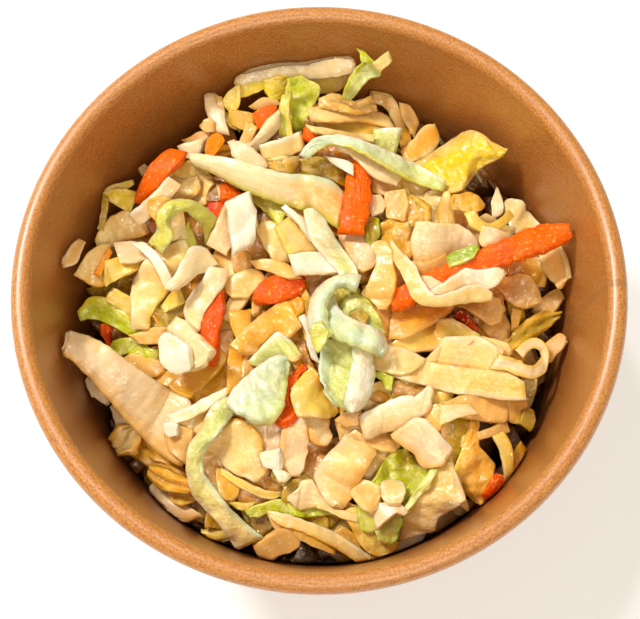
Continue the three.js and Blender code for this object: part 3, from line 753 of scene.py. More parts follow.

# ---- Pieces placed one by one, each on the ones before it: first the low ones that show in the gaps ----
patch(
    LEAF, [(396, 172), (414, 174), (446, 186), (452, 196),
           (440, 206), (420, 206), (402, 200), (394, 186)], 15, 1.0, CREAM, crumple=0.35,
)
patch(
    LEAF, [(426, 192), (446, 188), (444, 212),
           (440, 232), (428, 232), (424, 210)], 90, 1.0, CREAM, crumple=0.35,
)
patch(RIBBON, [(450, 206), (474, 206), (480, 226), (470, 240), (452, 232)], 60, 1.4, PEACH)
patch(
    LEAF, [(182, 206), (198, 208), (208, 228),
           (210, 250), (198, 252), (186, 240)], 70, 1.0, CREAM, crumple=0.35,
)
patch(RIBBON, [(140, 210), (150, 206), (162, 214), (162, 240), (148, 244), (140, 232)], 80, 1.4, AMBER)
patch(
    LEAF, [(104, 240), (128, 236), (152, 240), (150, 250),
           (124, 252), (106, 266), (100, 250)], 0, 1.0, CREAM, crumple=0.35,
)
patch(
    LEAF, [(88, 290), (104, 280), (130, 268), (140, 280),
           (138, 300), (120, 300), (100, 302)], -15, 1.0, OLIVE, crumple=0.35,
)
patch(
    LEAF, [(186, 276), (200, 264), (214, 268),
           (212, 286), (198, 300), (188, 296)], -50, 1.0, GOLD, crumple=0.35,
)
patch(RIBBON, [(210, 262), (222, 244), (238, 236), (240, 262), (234, 278), (222, 282)], -60, 1.4, CREAM)
patch(
    LEAF, [(248, 232), (258, 220), (268, 240), (276, 260),
           (264, 268), (246, 266), (242, 252)], 60, 1.0, TAN, crumple=0.35,
)
patch(
    RIBBON, [(302, 272), (322, 270), (344, 272), (340, 284),
             (324, 292), (312, 298), (302, 286)], 0, 1.4, PEACH,
)
patch(
    RIBBON, [(364, 286), (380, 290), (400, 310), (404, 345),
             (390, 350), (376, 330), (364, 305)], 60, 1.4, PEACH,
)
patch(
    LEAF, [(382, 222), (398, 218), (414, 226), (416, 252),
           (408, 262), (394, 252), (382, 242)], 70, 1.0, GOLD, crumple=0.35,
)
patch(RIBBON, [(184, 398), (205, 384), (228, 366), (232, 386), (216, 398), (194, 408)], -35, 1.4, GOLD)
patch(RIBBON, [(188, 432), (198, 412), (212, 402), (220, 424), (206, 440), (192, 446)], -60, 1.4, CREAM)
patch(
    LEAF, [(198, 446), (212, 450), (230, 470),
           (228, 505), (214, 500), (202, 478)], 60, 1.0, TAN, crumple=0.35,
)
patch(RIB, [(246, 416), (266, 424), (286, 420), (286, 450), (264, 458), (252, 442)], 90, 2.0, PINKISH)
patch(
    RIBBON, [(300, 430), (322, 442), (344, 436), (330, 462),
             (322, 480), (310, 494), (298, 480)], 110, 1.4, TAN,
)
patch(
    LEAF, [(368, 386), (388, 380), (400, 398),
           (388, 408), (368, 420), (362, 405)], 0, 1.0, CREAM, crumple=0.35,
)
patch(
    LEAF, [(366, 446), (398, 448), (392, 470),
           (378, 486), (362, 488), (364, 466)], 110, 1.0, CREAM, crumple=0.35,
)
patch(RIBBON, [(430, 388), (452, 390), (452, 410), (440, 420), (426, 404)], 10, 1.4, BUTTER)
patch(RIBBON, [(438, 404), (452, 402), (452, 440), (442, 440)], 90, 1.4, PEACH)
patch(
    LEAF, [(476, 300), (500, 308), (512, 330),
           (508, 345), (492, 338), (474, 318)], 50, 1.0, TAN, crumple=0.35,
)
patch(
    LEAF, [(498, 250), (524, 246), (544, 258),
           (540, 280), (520, 278), (500, 272)], 10, 1.0, HONEY, crumple=0.35,
)
patch(RIBBON, [(488, 280), (500, 290), (504, 312), (494, 318), (486, 300)], 70, 1.4, TAN)
patch(LEAF, [(504, 340), (520, 344), (524, 362), (516, 372), (500, 360)], 50, 1.0, GOLD, crumple=0.35)
patch(
    LEAF, [(315, 148), (330, 140), (348, 144), (362, 156),
           (356, 170), (340, 166), (322, 162)], 15, 1.0, GOLD, crumple=0.35,
)
patch(LEAF, [(300, 106), (318, 104), (320, 124), (308, 134), (298, 124)], 60, 1.0, GOLD, crumple=0.35)
patch(RIBBON, [(214, 126), (230, 128), (238, 144), (226, 150), (214, 144)], 40, 1.4, PEACH)
patch(LEAF, [(262, 126), (286, 122), (288, 146), (268, 150)], 20, 1.0, OLIVE, crumple=0.35)
patch(RIBBON, [(292, 150), (306, 150), (306, 180), (294, 180)], 90, 1.4, GOLD)
patch(RIBBON, [(284, 200), (304, 204), (308, 224), (296, 222), (284, 212)], 40, 1.4, CREAM)
patch(CARROT, [(205, 190), (226, 196), (226, 226), (214, 230), (204, 212)], 80, 2.2, RUST)
patch(RIBBON, [(214, 336), (232, 330), (236, 360), (222, 366), (214, 352)], 80, 1.4, TAN)
patch(
    LEAF, [(284, 320), (302, 318), (306, 352),
           (318, 380), (300, 378), (288, 350)], 70, 1.0, AMBER, crumple=0.35,
)
patch(RIB, [(86, 378), (98, 376), (112, 396), (108, 404), (94, 396)], 50, 2.0, PINKISH)
patch(RIB, [(112, 406), (126, 408), (132, 428), (120, 432)], 60, 2.0, PINKISH)
patch(LEAF, [(340, 402), (362, 402), (360, 418), (342, 416)], 0, 1.0, BUTTER, crumple=0.35)
patch(RIBBON, [(336, 420), (362, 420), (360, 446), (342, 446)], 30, 1.4, CREAM)
patch(LEAF, [(150, 304), (164, 312), (164, 332), (148, 334)], 70, 1.0, OLIVE, crumple=0.35)
patch(LEAF, [(108, 318), (134, 326), (132, 342), (112, 344)], 20, 1.0, GOLD, crumple=0.35)
patch(LEAF, [(236, 496), (262, 504), (276, 520), (262, 534), (246, 520)], 40, 1.0, OLIVE, crumple=0.35)
patch(
    LEAF, [(468, 226), (486, 214), (500, 224),
           (516, 230), (500, 240), (476, 244)], 10, 1.0, CREAM, crumple=0.35,
)
patch(RIBBON, [(396, 256), (408, 262), (408, 292), (394, 290)], 80, 1.4, PEACH)
patch(LEAF, [(368, 172), (402, 174), (410, 196), (396, 212), (372, 210)], 40, 1.0, BUTTER, crumple=0.35)

# ---- The back of the heap ----
band(RIBBON, [(292, 77, 300, 84), (310, 75, 318, 92), (335, 73, 338, 90), (352, 70, 346, 84)], 1.4,
    BUTTER)
band(
    RIB, [(236, 84, 240, 88), (244, 72, 250, 85), (262, 63, 272, 81), (285, 61, 292, 77),
    (310, 61, 316, 76),
          (335, 57, 338, 74), (352, 55, 356, 70)],
    2.6, PALE, end=PINKISH, left=PALE, arch=0.5,
)
band(RIBBON, [(232, 92, 236, 98), (245, 86, 248, 95), (262, 83, 264, 88)], 1.2, LEMON)
band(LEAF, [(263, 81, 266, 92), (276, 78, 272, 100), (291, 77, 290, 96)], 1.0, LEMON, crumple=0.3)
patch(LEAF, [(222, 102), (226, 97), (232, 90), (240, 85), (240, 100), (236, 110), (228, 110)], -40, 1.2,
    BUTTER)
patch(LEAF, [(222, 115), (230, 112), (240, 111), (240, 130), (232, 127), (225, 123)], 10, 1.3, OLIVE,
    crumple=0.3)
band(RIBBON, [(230, 112, 232, 124), (242, 112, 244, 130), (254, 115, 252, 134)], 1.6, GOLD)
band(RIBBON, [(251, 107, 254, 109), (262, 99, 266, 107), (276, 100, 281, 104)], 1.4, TAN)
band(
    LEAF, [(289, 80, 300, 76), (287, 92, 319, 88), (288, 108, 312, 106), (288, 122, 306, 118),
    (292, 134, 302, 132)],
    0.9, LIME, edge=LEEK, crumple=0.5, lift=[1.0, 1.6, 0.4],
)
band(LEAF, [(283, 96, 290, 93), (279, 116, 288, 112), (281, 138, 292, 137)], 1.0, LEEK, edge=BUTTER,
    crumple=0.3)
band(CARROT, [(254, 113, 257, 128), (263, 107, 264, 129), (272, 105, 270, 122), (277, 108, 276, 116)],
    2.6, ORANGE)
band(RIBBON, [(247, 122, 256, 128), (243, 136, 250, 142), (236, 150, 240, 154)], 1.2, PEACH)
band(
    RIBBON, [(271, 118, 277, 112), (264, 128, 277, 124), (252, 142, 268, 137), (240, 150, 254, 152)],
    1.8, PALE, edge=PINKISH, arch=0.6,
)
band(RIB, [(260, 146, 264, 158), (280, 140, 282, 157), (300, 133, 304, 149)], 2.8, CREAM, left=SNOW)
band(
    LEAF, [(266, 160, 264, 168), (282, 157, 276, 174), (298, 158, 292, 178)],
    1.4, GOLD, ridges=4, crumple=0.4, edge=CREAM,
)
band(CARROT, [(304, 130, 303, 136), (309, 128, 308, 142), (318, 138, 316, 144)], 1.8, ORANGE)
band(LEAF, [(300, 160, 304, 176), (320, 158, 322, 176), (345, 165, 344, 185)], 1.0, OLIVE, crumple=0.3)

# ---- The layered pieces under the back wall ----
band(LEAF, [(372, 90, 370, 100), (385, 90, 384, 106), (398, 108, 392, 118), (405, 125, 398, 130)], 1.0,
    TAN)
band(
    RIB, [(312, 118, 318, 130), (335, 122, 340, 135), (365, 124, 366, 138), (392, 126, 376, 137)],
    1.6, BUTTER, left=CREAM,
)
band(
    RIB, [(308, 110, 312, 120), (330, 108, 334, 122), (360, 110, 362, 121), (388, 118, 394, 130)],
    1.6, CREAM, edge=PEACH, arch=0.4,
)
band(
    LEAF, [(320, 99, 320, 107), (335, 95, 338, 110), (355, 102, 360, 114), (372, 98, 376, 110)],
    1.5, PEACH, right=HONEY, ridges=2, crumple=0.2,
)
band(
    LEAF, [(343, 98, 349, 100), (347, 86, 358, 90), (353, 74, 368, 79), (360, 66, 380, 74),
    (365, 60, 379, 66)],
    1.0, CELERY, left=LIME, crumple=0.4, lift=[0.5, 1.5, 3.0],
)
band(LEAF, [(362, 61, 377, 63), (361, 55, 372, 60), (359, 50, 362, 51)], 0.9, LIME, lift=[3.0, 3.5])
band(LEAF, [(374, 64, 380, 70), (382, 57, 388, 64), (388, 53, 391, 60)], 0.9, CREAM, lift=[3.0, 3.5])
band(RIBBON, [(400, 104, 402, 118), (410, 108, 410, 130), (418, 122, 414, 136)], 1.4, TAN)
band(
    RIB, [(402, 152, 406, 163), (414, 140, 422, 159), (424, 128, 434, 150), (434, 126, 439, 138)],
    2.0, HONEY, edge=CREAM,
)
band(
    LEAF,
    [(414, 166, 428, 180), (438, 150, 447, 192), (452, 141, 460, 190), (466, 132, 468, 182),
    (480, 134, 480, 168),
     (494, 145, 490, 162), (506, 150, 502, 156)],
    1.0, SUNNY, left=PEACH, right=BUTTER, arch=1.2, crumple=0.45, bend=8, lift=[1.0, 3.0, 4.0, 4.0],
)
band(RIBBON, [(372, 178, 374, 192), (385, 182, 388, 196), (400, 185, 402, 198)], 1.6, TAN)
patch(
    LEAF, [(405, 198), (412, 196), (420, 200), (430, 206), (430, 228), (420, 230), (410, 226),
    (405, 214)],
    70, 1.6, GOLD, ridges=3, crumple=0.4,
)
patch(RIB, [(444, 194), (449, 192), (452, 205), (453, 225), (440, 225), (439, 210)], 90, 1.8, CREAM,
    edge=GOLD)
patch(
    LEAF, [(452, 197), (460, 195), (470, 193), (478, 198), (484, 206), (482, 209), (472, 213), (465, 210),
    (452, 209)],
    10, 1.2, GOLD, crumple=0.4, lift=1.0,
)
patch(RIBBON, [(497, 188), (500, 200), (503, 207), (501, 214), (494, 218), (492, 205)], 90, 1.2, PALE,
    lift=[1, 0])

# ---- The back left ----
band(RIBBON, [(206, 95, 213, 94), (206, 103, 218, 101), (209, 113, 223, 111), (213, 123, 224, 122),
    (217, 132, 228, 134)],
     2.0, PINKISH, left=PALE, arch=0.4)
band(RIBBON, [(217, 97, 221, 98), (219, 106, 223, 108)], 1.0, TAN)
patch(RIBBON, [(201, 126), (204, 121), (210, 119), (214, 123), (214, 131), (206, 132), (203, 129)], 0,
    1.6, TAN)
band(RIBBON, [(184, 141, 186, 143), (190, 138, 192, 147), (200, 133, 200, 150), (212, 132, 206, 150)],
    1.5, FAWN, end=PINKISH)
band(RIBBON, [(179, 147, 182, 153), (190, 143, 190, 158), (205, 139, 200, 155)], 1.5, PINKISH)
patch(RIB, [(218, 158), (218, 148), (222, 145), (230, 146), (233, 152), (228, 158)], 0, 2.0, HONEY,
    ridges=2)
patch(
    CARROT, [(205, 150), (208, 140), (213, 134), (219, 134), (224, 141), (220, 147), (216, 156),
    (210, 153)],
    110, 2.2, tone(255, 142, 10),
)
band(RIBBON, [(229, 143, 234, 141), (233, 150, 240, 148), (236, 158, 244, 156)], 1.5, PINKISH)
band(
    RIB, [(231, 143, 233, 155), (242, 144, 243, 162), (256, 154, 254, 166), (266, 166, 264, 169)],
    1.8, PINKISH, arch=0.4,
)
band(RIBBON, [(138, 166, 142, 164), (141, 173, 147, 168), (148, 178, 153, 173)], 1.8, PINKISH)
band(LEAF, [(104, 190, 106, 192), (112, 186, 114, 191), (122, 184, 124, 189), (132, 181, 133, 184)], 0.9,
    BUTTER)
patch(
    LEAF, [(103, 193), (112, 190), (125, 190), (137, 193), (134, 203), (130, 213), (120, 206),
    (110, 200)],
    20, 1.1, LEMON, edge=BUTTER, crumple=0.3,
)
band(RIBBON, [(104, 196, 108, 198), (102, 212, 106, 214), (99, 228, 102, 229)], 1.0, OLIVE)
patch(RIBBON, [(207, 190), (212, 182), (220, 182), (218, 200), (208, 200)], 90, 1.2, MOSS)
patch(
    LEAF,
    [(170, 175), (178, 170), (186, 163), (192, 160), (200, 168), (210, 175), (213, 182), (208, 190),
    (206, 204),
     (190, 206), (176, 200), (164, 196)],
    -20, 1.3, CREAM, left=BUTTER, crumple=0.5,
)
patch(
    LEAF, [(150, 200), (163, 182), (172, 178), (185, 180), (198, 177), (200, 190), (188, 201), (170, 206),
    (154, 212)],
    -30, 1.3, CREAM, right=GOLD, crumple=0.5,
)
band(
    CARROT,
    [(174, 151, 187, 153), (166, 156, 182, 162), (157, 163, 176, 168), (150, 172, 168, 176),
    (144, 182, 160, 185),
     (140, 192, 152, 193), (136, 203, 143, 205)],
    2.6, ORANGE, arch=0.3, lift=[1.0, 2.0, 1.0],
)
band(RIBBON, [(218, 186, 224, 184), (220, 198, 226, 196)], 1.2, PALE)
patch(CARROT, [(222, 184), (228, 186), (235, 192), (240, 194), (238, 199), (230, 202), (222, 200)], 40,
    2.2, ORANGE)

# ---- The left ----
band(RIBBON, [(60, 263, 62, 266), (66, 255, 74, 264), (73, 245, 80, 252), (79, 240, 84, 243)], 1.3, TAN,
    edge=PINKISH)
band(
    RIB, [(96, 240, 100, 252), (106, 222, 112, 246), (122, 213, 126, 240), (136, 214, 142, 236),
    (146, 226, 148, 232)],
    1.8, CREAM, edge=PEACH, crumple=0.3,
)
band(RIB, [(76, 275, 80, 277), (86, 256, 90, 284), (98, 247, 103, 285), (110, 245, 108, 262)], 1.8, CREAM,
    right=HONEY)
band(CARROT, [(109, 248, 112, 252), (101, 262, 106, 264), (94, 274, 99, 277)], 1.2, tone(250, 160, 40))
patch(RIB, [(104, 262), (120, 258), (140, 252), (156, 244), (152, 258), (140, 268), (122, 276),
    (105, 285)], -20, 1.6, BUTTER)
band(RIB, [(131, 214, 140, 224), (144, 203, 156, 212), (158, 190, 170, 197), (168, 178, 180, 186)], 2.0,
    PINKISH, left=SNOW)
patch(RIBBON, [(150, 200), (162, 196), (176, 202), (170, 214), (158, 222), (150, 214)], 60, 1.4, GOLD)
band(RIBBON, [(170, 216, 168, 240), (182, 212, 186, 238)], 1.4, CREAM)
band(RIBBON, [(178, 240, 184, 262), (188, 224, 198, 250)], 1.4, LEEK)
patch(
    LEAF, [(150, 312), (156, 298), (168, 288), (190, 280), (192, 322), (180, 332), (166, 336)],
    -60, 1.2, OLIVE, edge=AMBER, crumple=0.3,
)
band(RIBBON, [(162, 306, 166, 311), (170, 296, 176, 306), (178, 286, 184, 302)], 1.2, BUTTER)
patch(LEAF, [(106, 300), (112, 289), (120, 292), (130, 298), (144, 324), (134, 322), (120, 308)], 45, 1.2,
    BUTTER)
band(
    LEAF, [(79, 312, 81, 319), (90, 299, 94, 318), (110, 300, 108, 323), (128, 316, 122, 330),
    (144, 328, 134, 337)],
    1.0, LIME, left=LEMON, crumple=0.35, lift=0.6,
)
band(CARROT, [(100, 325, 102, 333), (106, 323, 105, 338), (112, 328, 110, 346)], 2.0, RUST, end=BRICK)
patch(
    LEAF,
    [(109, 349), (112, 343), (120, 339), (132, 339), (142, 343), (152, 350), (160, 352), (158, 362),
    (150, 358),
     (140, 353), (128, 352), (118, 356)],
    10, 1.0, LIME, crumple=0.3,
)
band(RIBBON, [(131, 336, 138, 342), (150, 329, 150, 343), (168, 328, 164, 342)], 1.6, PEACH)
band(
    RIB,
    [(184, 242, 190, 252), (160, 250, 184, 262), (142, 266, 174, 285), (134, 285, 162, 298),
    (132, 305, 150, 316),
     (134, 328, 148, 328)],
    1.8, CREAM, left=PALE, right=BUTTER, arch=0.5,
)
band(
    LEAF,
    [(150, 242, 162, 252), (158, 230, 172, 236), (159, 214, 168, 222), (170, 203, 176, 212),
    (184, 201, 186, 210),
     (200, 206, 196, 218), (214, 217, 204, 228), (218, 226, 206, 244)],
    1.0, LEEK, edge=CELERY, arch=0.8, lift=[0.5, 2.0, 2.0, 0.5], crumple=0.2, bend=8,
)
band(RIBBON, [(115, 244, 121, 262), (128, 243, 132, 262), (142, 244, 146, 258)], 1.0, PINKISH, lift=1.0)
band(
    RIBBON, [(134, 244, 142, 243), (150, 258, 156, 254), (160, 274, 167, 270), (166, 288, 173, 284)],
    1.2, SNOW, lift=[1.0, 2.0, 2.5],
)
band(
    RIBBON,
    [(167, 288, 172, 290), (176, 276, 184, 284), (184, 260, 196, 274), (192, 248, 208, 270),
    (204, 249, 216, 264),
     (214, 260, 218, 266)],
    1.2, PALE, left=SNOW, arch=0.6, lift=[1.0, 2.0, 1.0],
)

# ---- The lower left ----
patch(
    RIB, [(130, 455), (140, 432), (160, 450), (185, 470), (190, 480), (175, 475), (160, 466), (150, 468),
    (140, 460)],
    40, 1.8, GOLD, end=AMBER, ridges=3,
)
patch(
    RIB,
    [(106, 446), (112, 434), (118, 425), (128, 424), (135, 427), (141, 432), (140, 445), (135, 454),
    (120, 455),
     (114, 456)],
    -60, 2.4, CREAM, edge=HONEY, ridges=4,
)
patch(RIBBON, [(185, 500), (200, 496), (208, 510), (208, 524), (196, 520), (186, 512)], 60, 1.4, MOSS)
band(
    RIB,
    [(149, 489, 153, 486), (152, 496, 160, 488), (158, 506, 168, 495), (168, 513, 178, 503),
    (180, 518, 190, 510),
     (192, 519, 200, 517)],
    2.4, PINKISH, end=FAWN, arch=0.5,
)
patch(LEAF, [(205, 527), (206, 515), (208, 510), (215, 512), (225, 520), (230, 526), (225, 529),
    (215, 527)], 30, 1.4,
      AMBER, crumple=0.4)
patch(
    RIB, [(202, 532), (205, 530), (212, 529), (222, 528), (230, 532), (232, 537), (226, 540), (218, 540),
    (208, 538)],
    5, 1.6, BUTTER, edge=GOLD, ridges=1,
)
patch(RIB, [(168, 495), (175, 494), (190, 492), (200, 495), (198, 499), (188, 503), (181, 505),
    (173, 502)], 5, 1.2, GOLD,
      crumple=0.4)
patch(
    RIB,
    [(149, 475), (151, 467), (158, 467), (168, 470), (180, 477), (190, 481), (197, 490), (188, 494),
    (175, 492),
     (165, 491), (155, 485)],
    20, 2.2, HONEY, edge=GOLD, ridges=2, crumple=0.3,
)
patch(RIB, [(152, 380), (165, 372), (180, 370), (190, 372), (180, 378), (168, 386)], -20, 1.4, BUTTER)
patch(
    RIB, [(125, 358), (130, 354), (140, 355), (160, 362), (165, 370), (158, 376), (150, 377), (140, 370)],
    25, 1.6, PEACH, edge=BUTTER,
)
band(
    RIB,
    [(62, 352, 65, 334), (72, 359, 85, 339), (90, 376, 104, 346), (110, 398, 124, 360),
    (128, 420, 148, 377),
     (148, 441, 172, 392), (168, 457, 190, 402), (182, 464, 196, 420)],
    3.0, PINKISH, left=PEACH, end=PALE, arch=0.9, bend=30,
)
patch(
    RIB,
    [(170, 388), (185, 375), (205, 362), (222, 350), (226, 358), (220, 368), (205, 384), (190, 397),
    (180, 395)],
    -38, 1.4, GOLD, left=PEACH,
)
patch(RIB, [(165, 432), (177, 425), (192, 430), (192, 450), (186, 463), (170, 452)], 70, 1.4, TAN)
band(
    RIBBON, [(168, 417, 172, 424), (185, 410, 190, 418), (205, 400, 208, 408), (220, 392, 222, 398),
    (228, 388, 230, 392)],
    1.2, PALE, left=SNOW, lift=0.8,
)
patch(RIB, [(165, 424), (172, 422), (178, 426), (177, 434), (170, 436), (165, 432)], 30, 1.6, SNOW)

# ---- The front ----
patch(RIBBON, [(240, 484), (250, 486), (262, 490), (270, 496), (271, 503), (258, 504), (245, 502),
    (238, 500)], 20, 1.4, FAWN)
patch(RIBBON, [(216, 468), (224, 474), (232, 480), (239, 486), (237, 495), (233, 500), (226, 500),
    (220, 495), (218, 485)],
      60, 1.4, GOLD, edge=PEACH)
patch(
    RIB,
    [(205, 448), (225, 425), (235, 420), (250, 422), (262, 440), (262, 452), (266, 468), (262, 478),
    (255, 480),
     (240, 475), (228, 468), (218, 455)],
    50, 2.0, CREAM, left=GOLD, right=PALE, arch=0.5,
)
band(
    RIBBON, [(222, 470, 222, 474), (240, 480, 238, 485), (255, 487, 255, 494), (270, 492, 272, 498),
    (280, 493, 280, 495)],
    1.2, BUTTER, edge=CREAM,
)
patch(RIBBON, [(250, 516), (258, 514), (272, 515), (275, 525), (268, 532), (262, 536), (252, 526)], 60,
    1.2, MOSS)
patch(RIBBON, [(281, 498), (285, 488), (295, 480), (305, 474), (313, 480), (300, 485), (292, 493),
    (285, 503)], -45, 1.2,
      OLIVE)
patch(RIBBON, [(300, 516), (315, 518), (325, 516), (330, 520), (329, 528), (322, 530), (308, 525),
    (290, 518)], 15, 1.3,
      OLIVE, edge=AMBER, crumple=0.3)
patch(RIBBON, [(330, 553), (340, 554), (350, 559), (346, 562), (338, 560)], 15, 1.2, MOSS)
band(RIBBON, [(228, 502, 235, 507), (235, 503, 238, 508), (245, 504, 243, 509), (253, 503, 250, 509)],
    1.0, BUTTER)
band(
    LEAF,
    [(247, 512, 250, 516), (255, 507, 258, 516), (268, 503, 270, 511), (280, 500, 284, 512),
    (300, 507, 300, 516),
     (320, 506, 318, 515), (337, 511, 336, 513)],
    1.0, LIME, left=LEEK, crumple=0.3, lift=0.5,
)
patch(RIB, [(268, 512), (275, 513), (290, 518), (300, 525), (290, 530), (277, 530), (272, 523)], 20, 1.6,
    PEACH, left=PALE)
patch(
    RIB, [(255, 545), (262, 540), (272, 533), (282, 528), (294, 528), (300, 544), (290, 551), (280, 553),
    (270, 559),
          (263, 557), (258, 551)],
    -30, 2.6, TAN, edge=PEACH,
)
band(RIBBON, [(294, 530, 297, 537), (305, 532, 306, 542), (320, 540, 322, 549), (335, 547, 335, 554)],
    1.4, GOLD, edge=TAN)
patch(
    RIBBON,
    [(288, 498), (293, 493), (299, 488), (300, 482), (312, 480), (318, 490), (322, 498), (335, 506),
    (340, 510),
     (330, 509), (320, 505), (300, 509), (296, 507)],
    10, 1.6, PALE, right=CREAM,
)
patch(LEAF, [(336, 531), (340, 527), (346, 528), (352, 533), (360, 546), (362, 554), (352, 546),
    (342, 537)], 45, 1.2,
      AMBER, edge=GOLD)
band(
    RIB,
    [(270, 512, 272, 519), (285, 515, 284, 526), (300, 521, 298, 530), (320, 528, 314, 537),
    (340, 537, 335, 547),
     (358, 548, 352, 557), (372, 557, 368, 566), (389, 561, 376, 565)],
    1.6, CREAM, left=PALE, right=GOLD, bend=20,
)
sheet(
    LEAF,
    [
        [(340, 512, 0.5), (352, 507, 0.5), (362, 509, 0.0)],
        [(350, 526, 0.8), (360, 522, 0.4), (374, 524, 0.2)],
        [(357, 540, 1.0), (370, 534, 0.4), (384, 532, 0.2)],
        [(368, 553, 1.0), (380, 545, 0.5), (392, 538, 0.4)],
        [(390, 561, 0.8), (394, 552, 0.5), (400, 542, 0.5)],
    ],
    1.0, BUTTER, left=GOLD, right=LEMON, crumple=0.15,
)
band(RIBBON, [(320, 504, 318, 507), (330, 508, 330, 511), (345, 512, 342, 517), (357, 516, 356, 521)],
    1.0, CREAM)
patch(
    RIB, [(398, 541), (410, 538), (425, 534), (417, 545), (413, 552), (416, 555), (410, 561), (400, 562),
    (390, 560),
          (393, 553)],
    -60, 1.4, PALE, end=SNOW,
)

# ---- The front right ----
patch(RIBBON, [(443, 418), (455, 416), (468, 420), (466, 440), (464, 470), (452, 470), (446, 445)], 90,
    1.4, OLIVE,
      right=GOLD, crumple=0.3)
band(RIBBON, [(465, 420, 478, 419), (463, 432, 476, 434), (462, 446, 474, 448)], 1.6, TAN, edge=CREAM)
band(RIBBON, [(475, 441, 476, 434), (488, 436, 488, 430), (500, 434, 500, 424), (508, 431, 506, 424)],
    1.4, TAN)
band(
    RIBBON, [(494, 437, 503, 433), (500, 450, 512, 451), (504, 466, 512, 466), (506, 482, 511, 482)],
    1.6, BUTTER, left=CREAM, right=GOLD,
)
band(LEAF, [(521, 443, 525, 449), (515, 452, 524, 456), (513, 462, 519, 462), (512, 472, 516, 470)], 1.0,
    AMBER)
patch(
    RIB, [(433, 530), (436, 520), (440, 515), (450, 510), (460, 514), (462, 522), (464, 528), (460, 533),
    (450, 538),
          (446, 542), (440, 537)],
    -20, 2.6, TAN, edge=PINKISH,
)
band(
    RIB, [(452, 508, 455, 513), (460, 503, 462, 515), (470, 501, 472, 517), (480, 507, 482, 518),
    (490, 508, 490, 515),
          (498, 505, 499, 508)],
    1.6, CREAM, left=TAN, right=PALE,
)
patch(
    CARROT, [(482, 492), (486, 488), (490, 480), (494, 474), (500, 477), (505, 480), (507, 487),
    (503, 493), (497, 499),
             (488, 495)],
    -45, 2.8, RUST,
)
patch(
    LEAF,
    [(466, 440), (471, 420), (476, 428), (477, 446), (486, 456), (494, 465), (492, 476), (485, 488),
    (486, 498),
     (491, 506), (484, 508), (470, 496), (463, 490), (459, 478), (455, 468), (462, 452)],
    80, 1.2, HONEY, right=BUTTER, arch=0.8, crumple=0.35,
)
patch(RIB, [(434, 470), (445, 462), (450, 458), (455, 470), (462, 488), (468, 510), (456, 500),
    (444, 488)], 60, 1.4, CREAM)
patch(
    LEAF,
    [(437, 466), (447, 461), (455, 470), (460, 485), (465, 500), (455, 507), (448, 511), (437, 517),
    (434, 530),
     (425, 532), (410, 536), (398, 540), (399, 532), (403, 520), (408, 508), (420, 492), (432, 478)],
    115, 1.2, CREAM, left=PALE, right=BUTTER, arch=0.5, relief=0.1,
)
patch(
    LEAF,
    [(388, 455), (402, 448), (422, 464), (433, 470), (430, 480), (420, 492), (410, 506), (402, 508),
    (394, 488),
     (371, 484), (380, 470)],
    60, 1.0, LIME, left=LEEK, crumple=0.45,
)
band(
    LEAF, [(432, 468, 438, 468), (425, 480, 434, 476), (415, 492, 424, 490), (407, 505, 414, 503),
    (401, 515, 406, 513)],
    1.0, CELERY, edge=LEEK, lift=0.4,
)
patch(LEAF, [(358, 507), (364, 510), (372, 515), (375, 522), (377, 530), (368, 532), (362, 530),
    (360, 520)], 80, 1.0,
      LEEK, crumple=0.35, right=LIME)
patch(
    LEAF,
    [(376, 532), (380, 527), (390, 516), (398, 512), (402, 518), (401, 525), (398, 530), (396, 540),
    (388, 544),
     (380, 541)],
    110, 1.0, LEEK, left=GREEN, edge=CELERY, crumple=0.35,
)
patch(RIB, [(373, 510), (378, 504), (392, 505), (402, 506), (407, 511), (404, 515), (396, 512),
    (388, 518), (380, 526),
            (377, 528), (374, 520)], -20, 1.4, PINKISH)
patch(RIB, [(355, 484), (360, 480), (370, 482), (380, 487), (381, 497), (378, 505), (372, 513),
    (362, 508), (352, 494)],
      45, 1.6, PEACH, edge=CREAM)
patch(RIB, [(381, 487), (385, 481), (395, 482), (403, 484), (405, 492), (402, 500), (398, 505),
    (390, 504), (384, 500)],
      80, 1.6, CREAM, edge=PALE)

# ---- The right ----
patch(
    RIB, [(505, 255), (525, 252), (545, 262), (545, 285), (530, 290), (510, 280)], 20, 1.6, GOLD,
    edge=TAN, crumple=0.3,
)
patch(RIBBON, [(455, 305), (480, 300), (492, 298), (501, 300), (503, 310), (500, 322), (490, 325),
    (480, 318), (465, 308)],
      10, 1.8, TAN, edge=PEACH)
patch(CARROT, [(457, 311), (460, 310), (467, 316), (474, 325), (477, 333), (470, 330), (462, 323),
    (455, 318)], 50, 1.8,
      BRICK, end=RUST)
band(RIBBON, [(513, 310, 520, 312), (512, 320, 518, 322), (513, 330, 517, 330)], 1.4, GOLD)
patch(RIBBON, [(541, 300), (550, 294), (558, 290), (564, 297), (553, 312), (545, 316), (533, 312),
    (536, 306)], -35, 1.4,
      TAN)
patch(RIB, [(540, 251), (550, 249), (560, 246), (565, 250), (571, 260), (577, 270), (570, 276),
    (560, 288), (552, 280),
            (544, 270), (541, 262)], 60, 1.8, PEACH, edge=CREAM)
band(
    RIB,
    [(560, 313, 558, 318), (545, 312, 550, 325), (535, 316, 538, 335), (525, 322, 525, 345),
    (515, 332, 505, 352),
     (505, 345, 503, 354)],
    1.6, OLIVE, edge=GOLD, ridges=2,
)
patch(RIBBON, [(545, 345), (552, 340), (560, 334), (567, 339), (563, 347), (556, 354), (550, 362),
    (545, 360)], -40, 1.2, TAN)
patch(RIB, [(470, 336), (486, 338), (508, 344), (512, 352), (504, 360), (485, 362), (470, 352)], 10, 1.8,
    PEACH, edge=CREAM)
